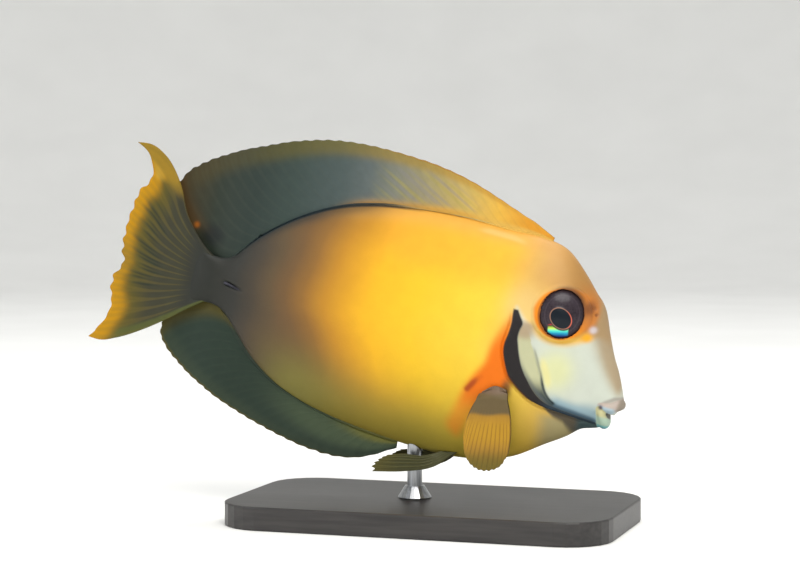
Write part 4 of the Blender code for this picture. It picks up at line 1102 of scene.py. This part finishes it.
def make_fins():
    surface = median_surface(DORSAL_ROOT_X, DORSAL_EDGE, DORSAL_REAR, back)
    fin("dorsal", surface, median_place(DORSAL_ROOT_X), 33, dorsal_material(), "dorsal_fin",
        dorsal_fields, notch=0.22, split=0.62, ray=0.30)
    surface = median_surface(ANAL_ROOT_X, ANAL_EDGE, ANAL_REAR, belly)
    fin("anal", surface, median_place(ANAL_ROOT_X), 27, anal_material(), "anal_fin",
        anal_fields, rows=70, notch=0.25, split=0.6, ray=0.30)
    surface = fan(TAIL_POLE, TAIL_ROOT_X, TAIL_LOW, TAIL_TOP, TAIL_EDGE)
    fin("tail", surface, tail_place, TAIL_RAYS, tail_material(), "tail_fin", tail_fields, cells=14,
        rows=120, root=0.9, root_share=0.30, ray=0.40, notch=0.45, uneven=1.4, split=0.42, sink=1.2, ray_start=0.4)
    pectoral, pelvic = pectoral_material(), pelvic_material()
    for side, name in SIDES.items():
        surface = patch(path(PECTORAL_ROOT), path(PECTORAL_EDGE), path(PECTORAL_LEAD), path(PECTORAL_TRAIL))
        sweep = LEFT_SWEEP if side > 0 else 0.0

        def pectoral_place(flat, u, v, side=side, sweep=sweep, surface=surface):
            root = surface(u, 0 * v)
            out = (flank(root[..., 0], root[..., 1]) + 0.25 + 0.8 * ease(v, 0, 0.12)
                   + (PECTORAL_SPREAD + PECTORAL_CUP * np.sin(math.pi * u)) * v)
            x, z = rotated(flat[..., 0] - PECTORAL_HINGE[0], flat[..., 1] - PECTORAL_HINGE[1], sweep)
            return stacked(PECTORAL_HINGE[0] + x, side * out, PECTORAL_HINGE[1] + z)

        fin(f"pectoral_{name}", surface, pectoral_place, 15, pectoral, f"pectoral_fin_{name}",
            pectoral_fields, cells=12, rows=80, root=1.3, root_share=0.42, sink=0.8, notch=0.2, split=0.7, rib=0.22,
            ray=0.34, ray_start=0.5)

        first, last = [(x, float(belly(x)) + PELVIC_RAISE) for x in PELVIC_ROOT_X]
        surface = patch(path([first, last]), path(PELVIC_EDGE), path([first] + PELVIC_LEAD),
                        path([last] + PELVIC_TRAIL))

        def pelvic_place(flat, u, v, side=side, surface=surface):
            root = surface(u, 0 * v)
            out = (flank(root[..., 0], root[..., 1]) + 0.3 + (PELVIC_CLEAR + 0.6) * ease(2.5 * v)
                   + PELVIC_SPREAD * v)
            return stacked(flat[..., 0], side * out, flat[..., 1])

        fin(f"pelvic_{name}", surface, pelvic_place, 6, pelvic, f"pelvic_fin_{name}",
            lambda flat, u, v: {}, cells=12, rows=70, root=1.1, root_share=0.25, sink=0.6, split=0.6)


def make_spines():
    nodes = Nodes("spine_horn")
    colour = nodes.mottled(nodes.noise(0.8), (36, 36, 44), (58, 58, 68))
    material = nodes.finish(colour, Roughness=0.5, Specular_IOR_Level=0.2)
    depth = float(flank(SPINE_X, SPINE_Z))
    for side, name in SIDES.items():
        share = np.linspace(0, 1, 30)
        ahead = SPINE_LENGTH * (share - 0.5)
        arch = np.sin(math.pi * share)
        centres = stacked(SPINE_X + ahead, side * (depth - 0.25 + 0.12 * arch),
                          SPINE_Z - ahead * math.tan(SPINE_SLANT) + 0.06 * arch)
        radii = 0.34 * np.sqrt(np.maximum(1 - share, 0.004)) * ease(share + 0.25, 0, 0.4)
        rough = tube("spine", centres, radii, 16)
        points, faces = vectors(rough.data.vertices, "co"), [list(f.vertices) for f in rough.data.polygons]
        bpy.data.objects.remove(rough)
        piece(f"spine_{name}", bend(points), faces, material, [f"tail_spine_{name}"])


# Stand and studio

def finish_stand():
    nodes = Nodes("stand_lacquer")
    grain = nodes.noise(0.9, 3.0, nodes.place((0.06, 1.0, 1.0)))
    colour = nodes.mottled(grain, (34, 32, 32), (52, 49, 48))
    base = nodes.finish(colour, Roughness=0.38, Normal=bumped(nodes, grain, 0.15, 0.06))
    nodes = Nodes("stand_steel")
    brushed = nodes.noise(0.4, 2.0, nodes.place((1.0, 1.0, 0.05)))
    colour = nodes.mottled(brushed, (140, 142, 145), (176, 178, 182))
    steel = nodes.finish(colour, Roughness=0.3, Metallic=1.0, Normal=bumped(nodes, brushed, 0.1, 0.02))
    for name, material in (("stand_base", base), ("stand_rod", steel)):
        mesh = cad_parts[name].data
        mesh.materials.clear()
        mesh.materials.append(material)


# The floor's flat radius, its curve up to the wall and the wall's height, in metres
FLOOR_RADIUS, COVE_WIDE, COVE_HIGH, WALL_TOP = 0.9, 0.6, 0.6, 1.6
# Each light's place, size, power and colour
LIGHTS = {
    "key": ((0.25, -0.50, 0.70), 0.55, 6.0, (1.0, 0.98, 0.94)),
    "fill": ((-0.65, -0.60, 0.35), 0.6, 2.25, (0.92, 0.96, 1.0)),
    "top": ((-0.05, 0.25, 0.85), 0.5, 3.75, (1, 1, 1)),
}


def make_studio():
    turns = np.linspace(0, math.pi / 2, 25)
    r = np.append(FLOOR_RADIUS + COVE_WIDE * np.sin(turns), FLOOR_RADIUS + COVE_WIDE)
    h = np.append(COVE_HIGH * (1 - np.cos(turns)), WALL_TOP)
    angles = circle(128)
    rings = stacked(r[:, None] * np.cos(angles), r[:, None] * np.sin(angles), h[:, None])
    points = np.concatenate([rings.reshape(-1, 3), [[0, 0, 0]]])
    faces = grid_faces(len(r), 128, wrap=True) + [[(k + 1) % 128, k, len(points) - 1] for k in range(128)]
    floor = raw_object("studio_floor", points, faces)
    nodes = Nodes("studio_paper")
    colour = nodes.mottled(nodes.noise(60), (244, 244, 242), (248, 248, 246))
    floor.data.materials.append(nodes.finish(colour, Roughness=0.85))
    floor.data.shade_smooth()
    for name, (place, size, power, colour) in LIGHTS.items():
        data = bpy.data.lights.new(name, "AREA")
        data.shape, data.size, data.energy, data.color = "DISK", size, power, colour
        light = linked(name, data)
        light.location = place
        light.rotation_euler = (Vector(place) - Vector((0, 0, 0.05))).to_track_quat("Z", "Y").to_euler()
    world = bpy.data.worlds.new("studio")
    world.use_nodes = True
    background = world.node_tree.nodes["Background"].inputs
    background[0].default_value, background[1].default_value = (0.97, 0.98, 1.0, 1), 0.4
    bpy.context.scene.world = world
    bpy.context.scene.view_settings.view_transform = "Standard"


def make_camera():
    azimuth, elevation, distance = math.radians(18), math.radians(3), 0.474
    aim = placed(np.array([38.7, 0.0, 10.08]))
    behind = Vector((math.sin(azimuth) * math.cos(elevation), -math.cos(azimuth) * math.cos(elevation),
                     math.sin(elevation)))
    right = Vector((math.cos(azimuth), math.sin(azimuth), 0))
    up = behind.cross(right)
    data = bpy.data.cameras.new("camera")
    data.lens, data.sensor_width, data.clip_start, data.clip_end = 100.0, 36.0, 0.01, 20.0
    camera = linked("camera", data)
    matrix = Matrix((right, up, behind)).transposed().to_4x4()
    camera.matrix_world = Matrix.Translation(Vector(aim.tolist()) + behind * distance) @ matrix
    bpy.context.scene.camera = camera


make_skin()
eye_look = eye_material()
for eye_side in (-1, 1):
    make_eye(eye_side, eye_look)
make_fins()
make_spines()
finish_stand()
make_studio()
make_camera()
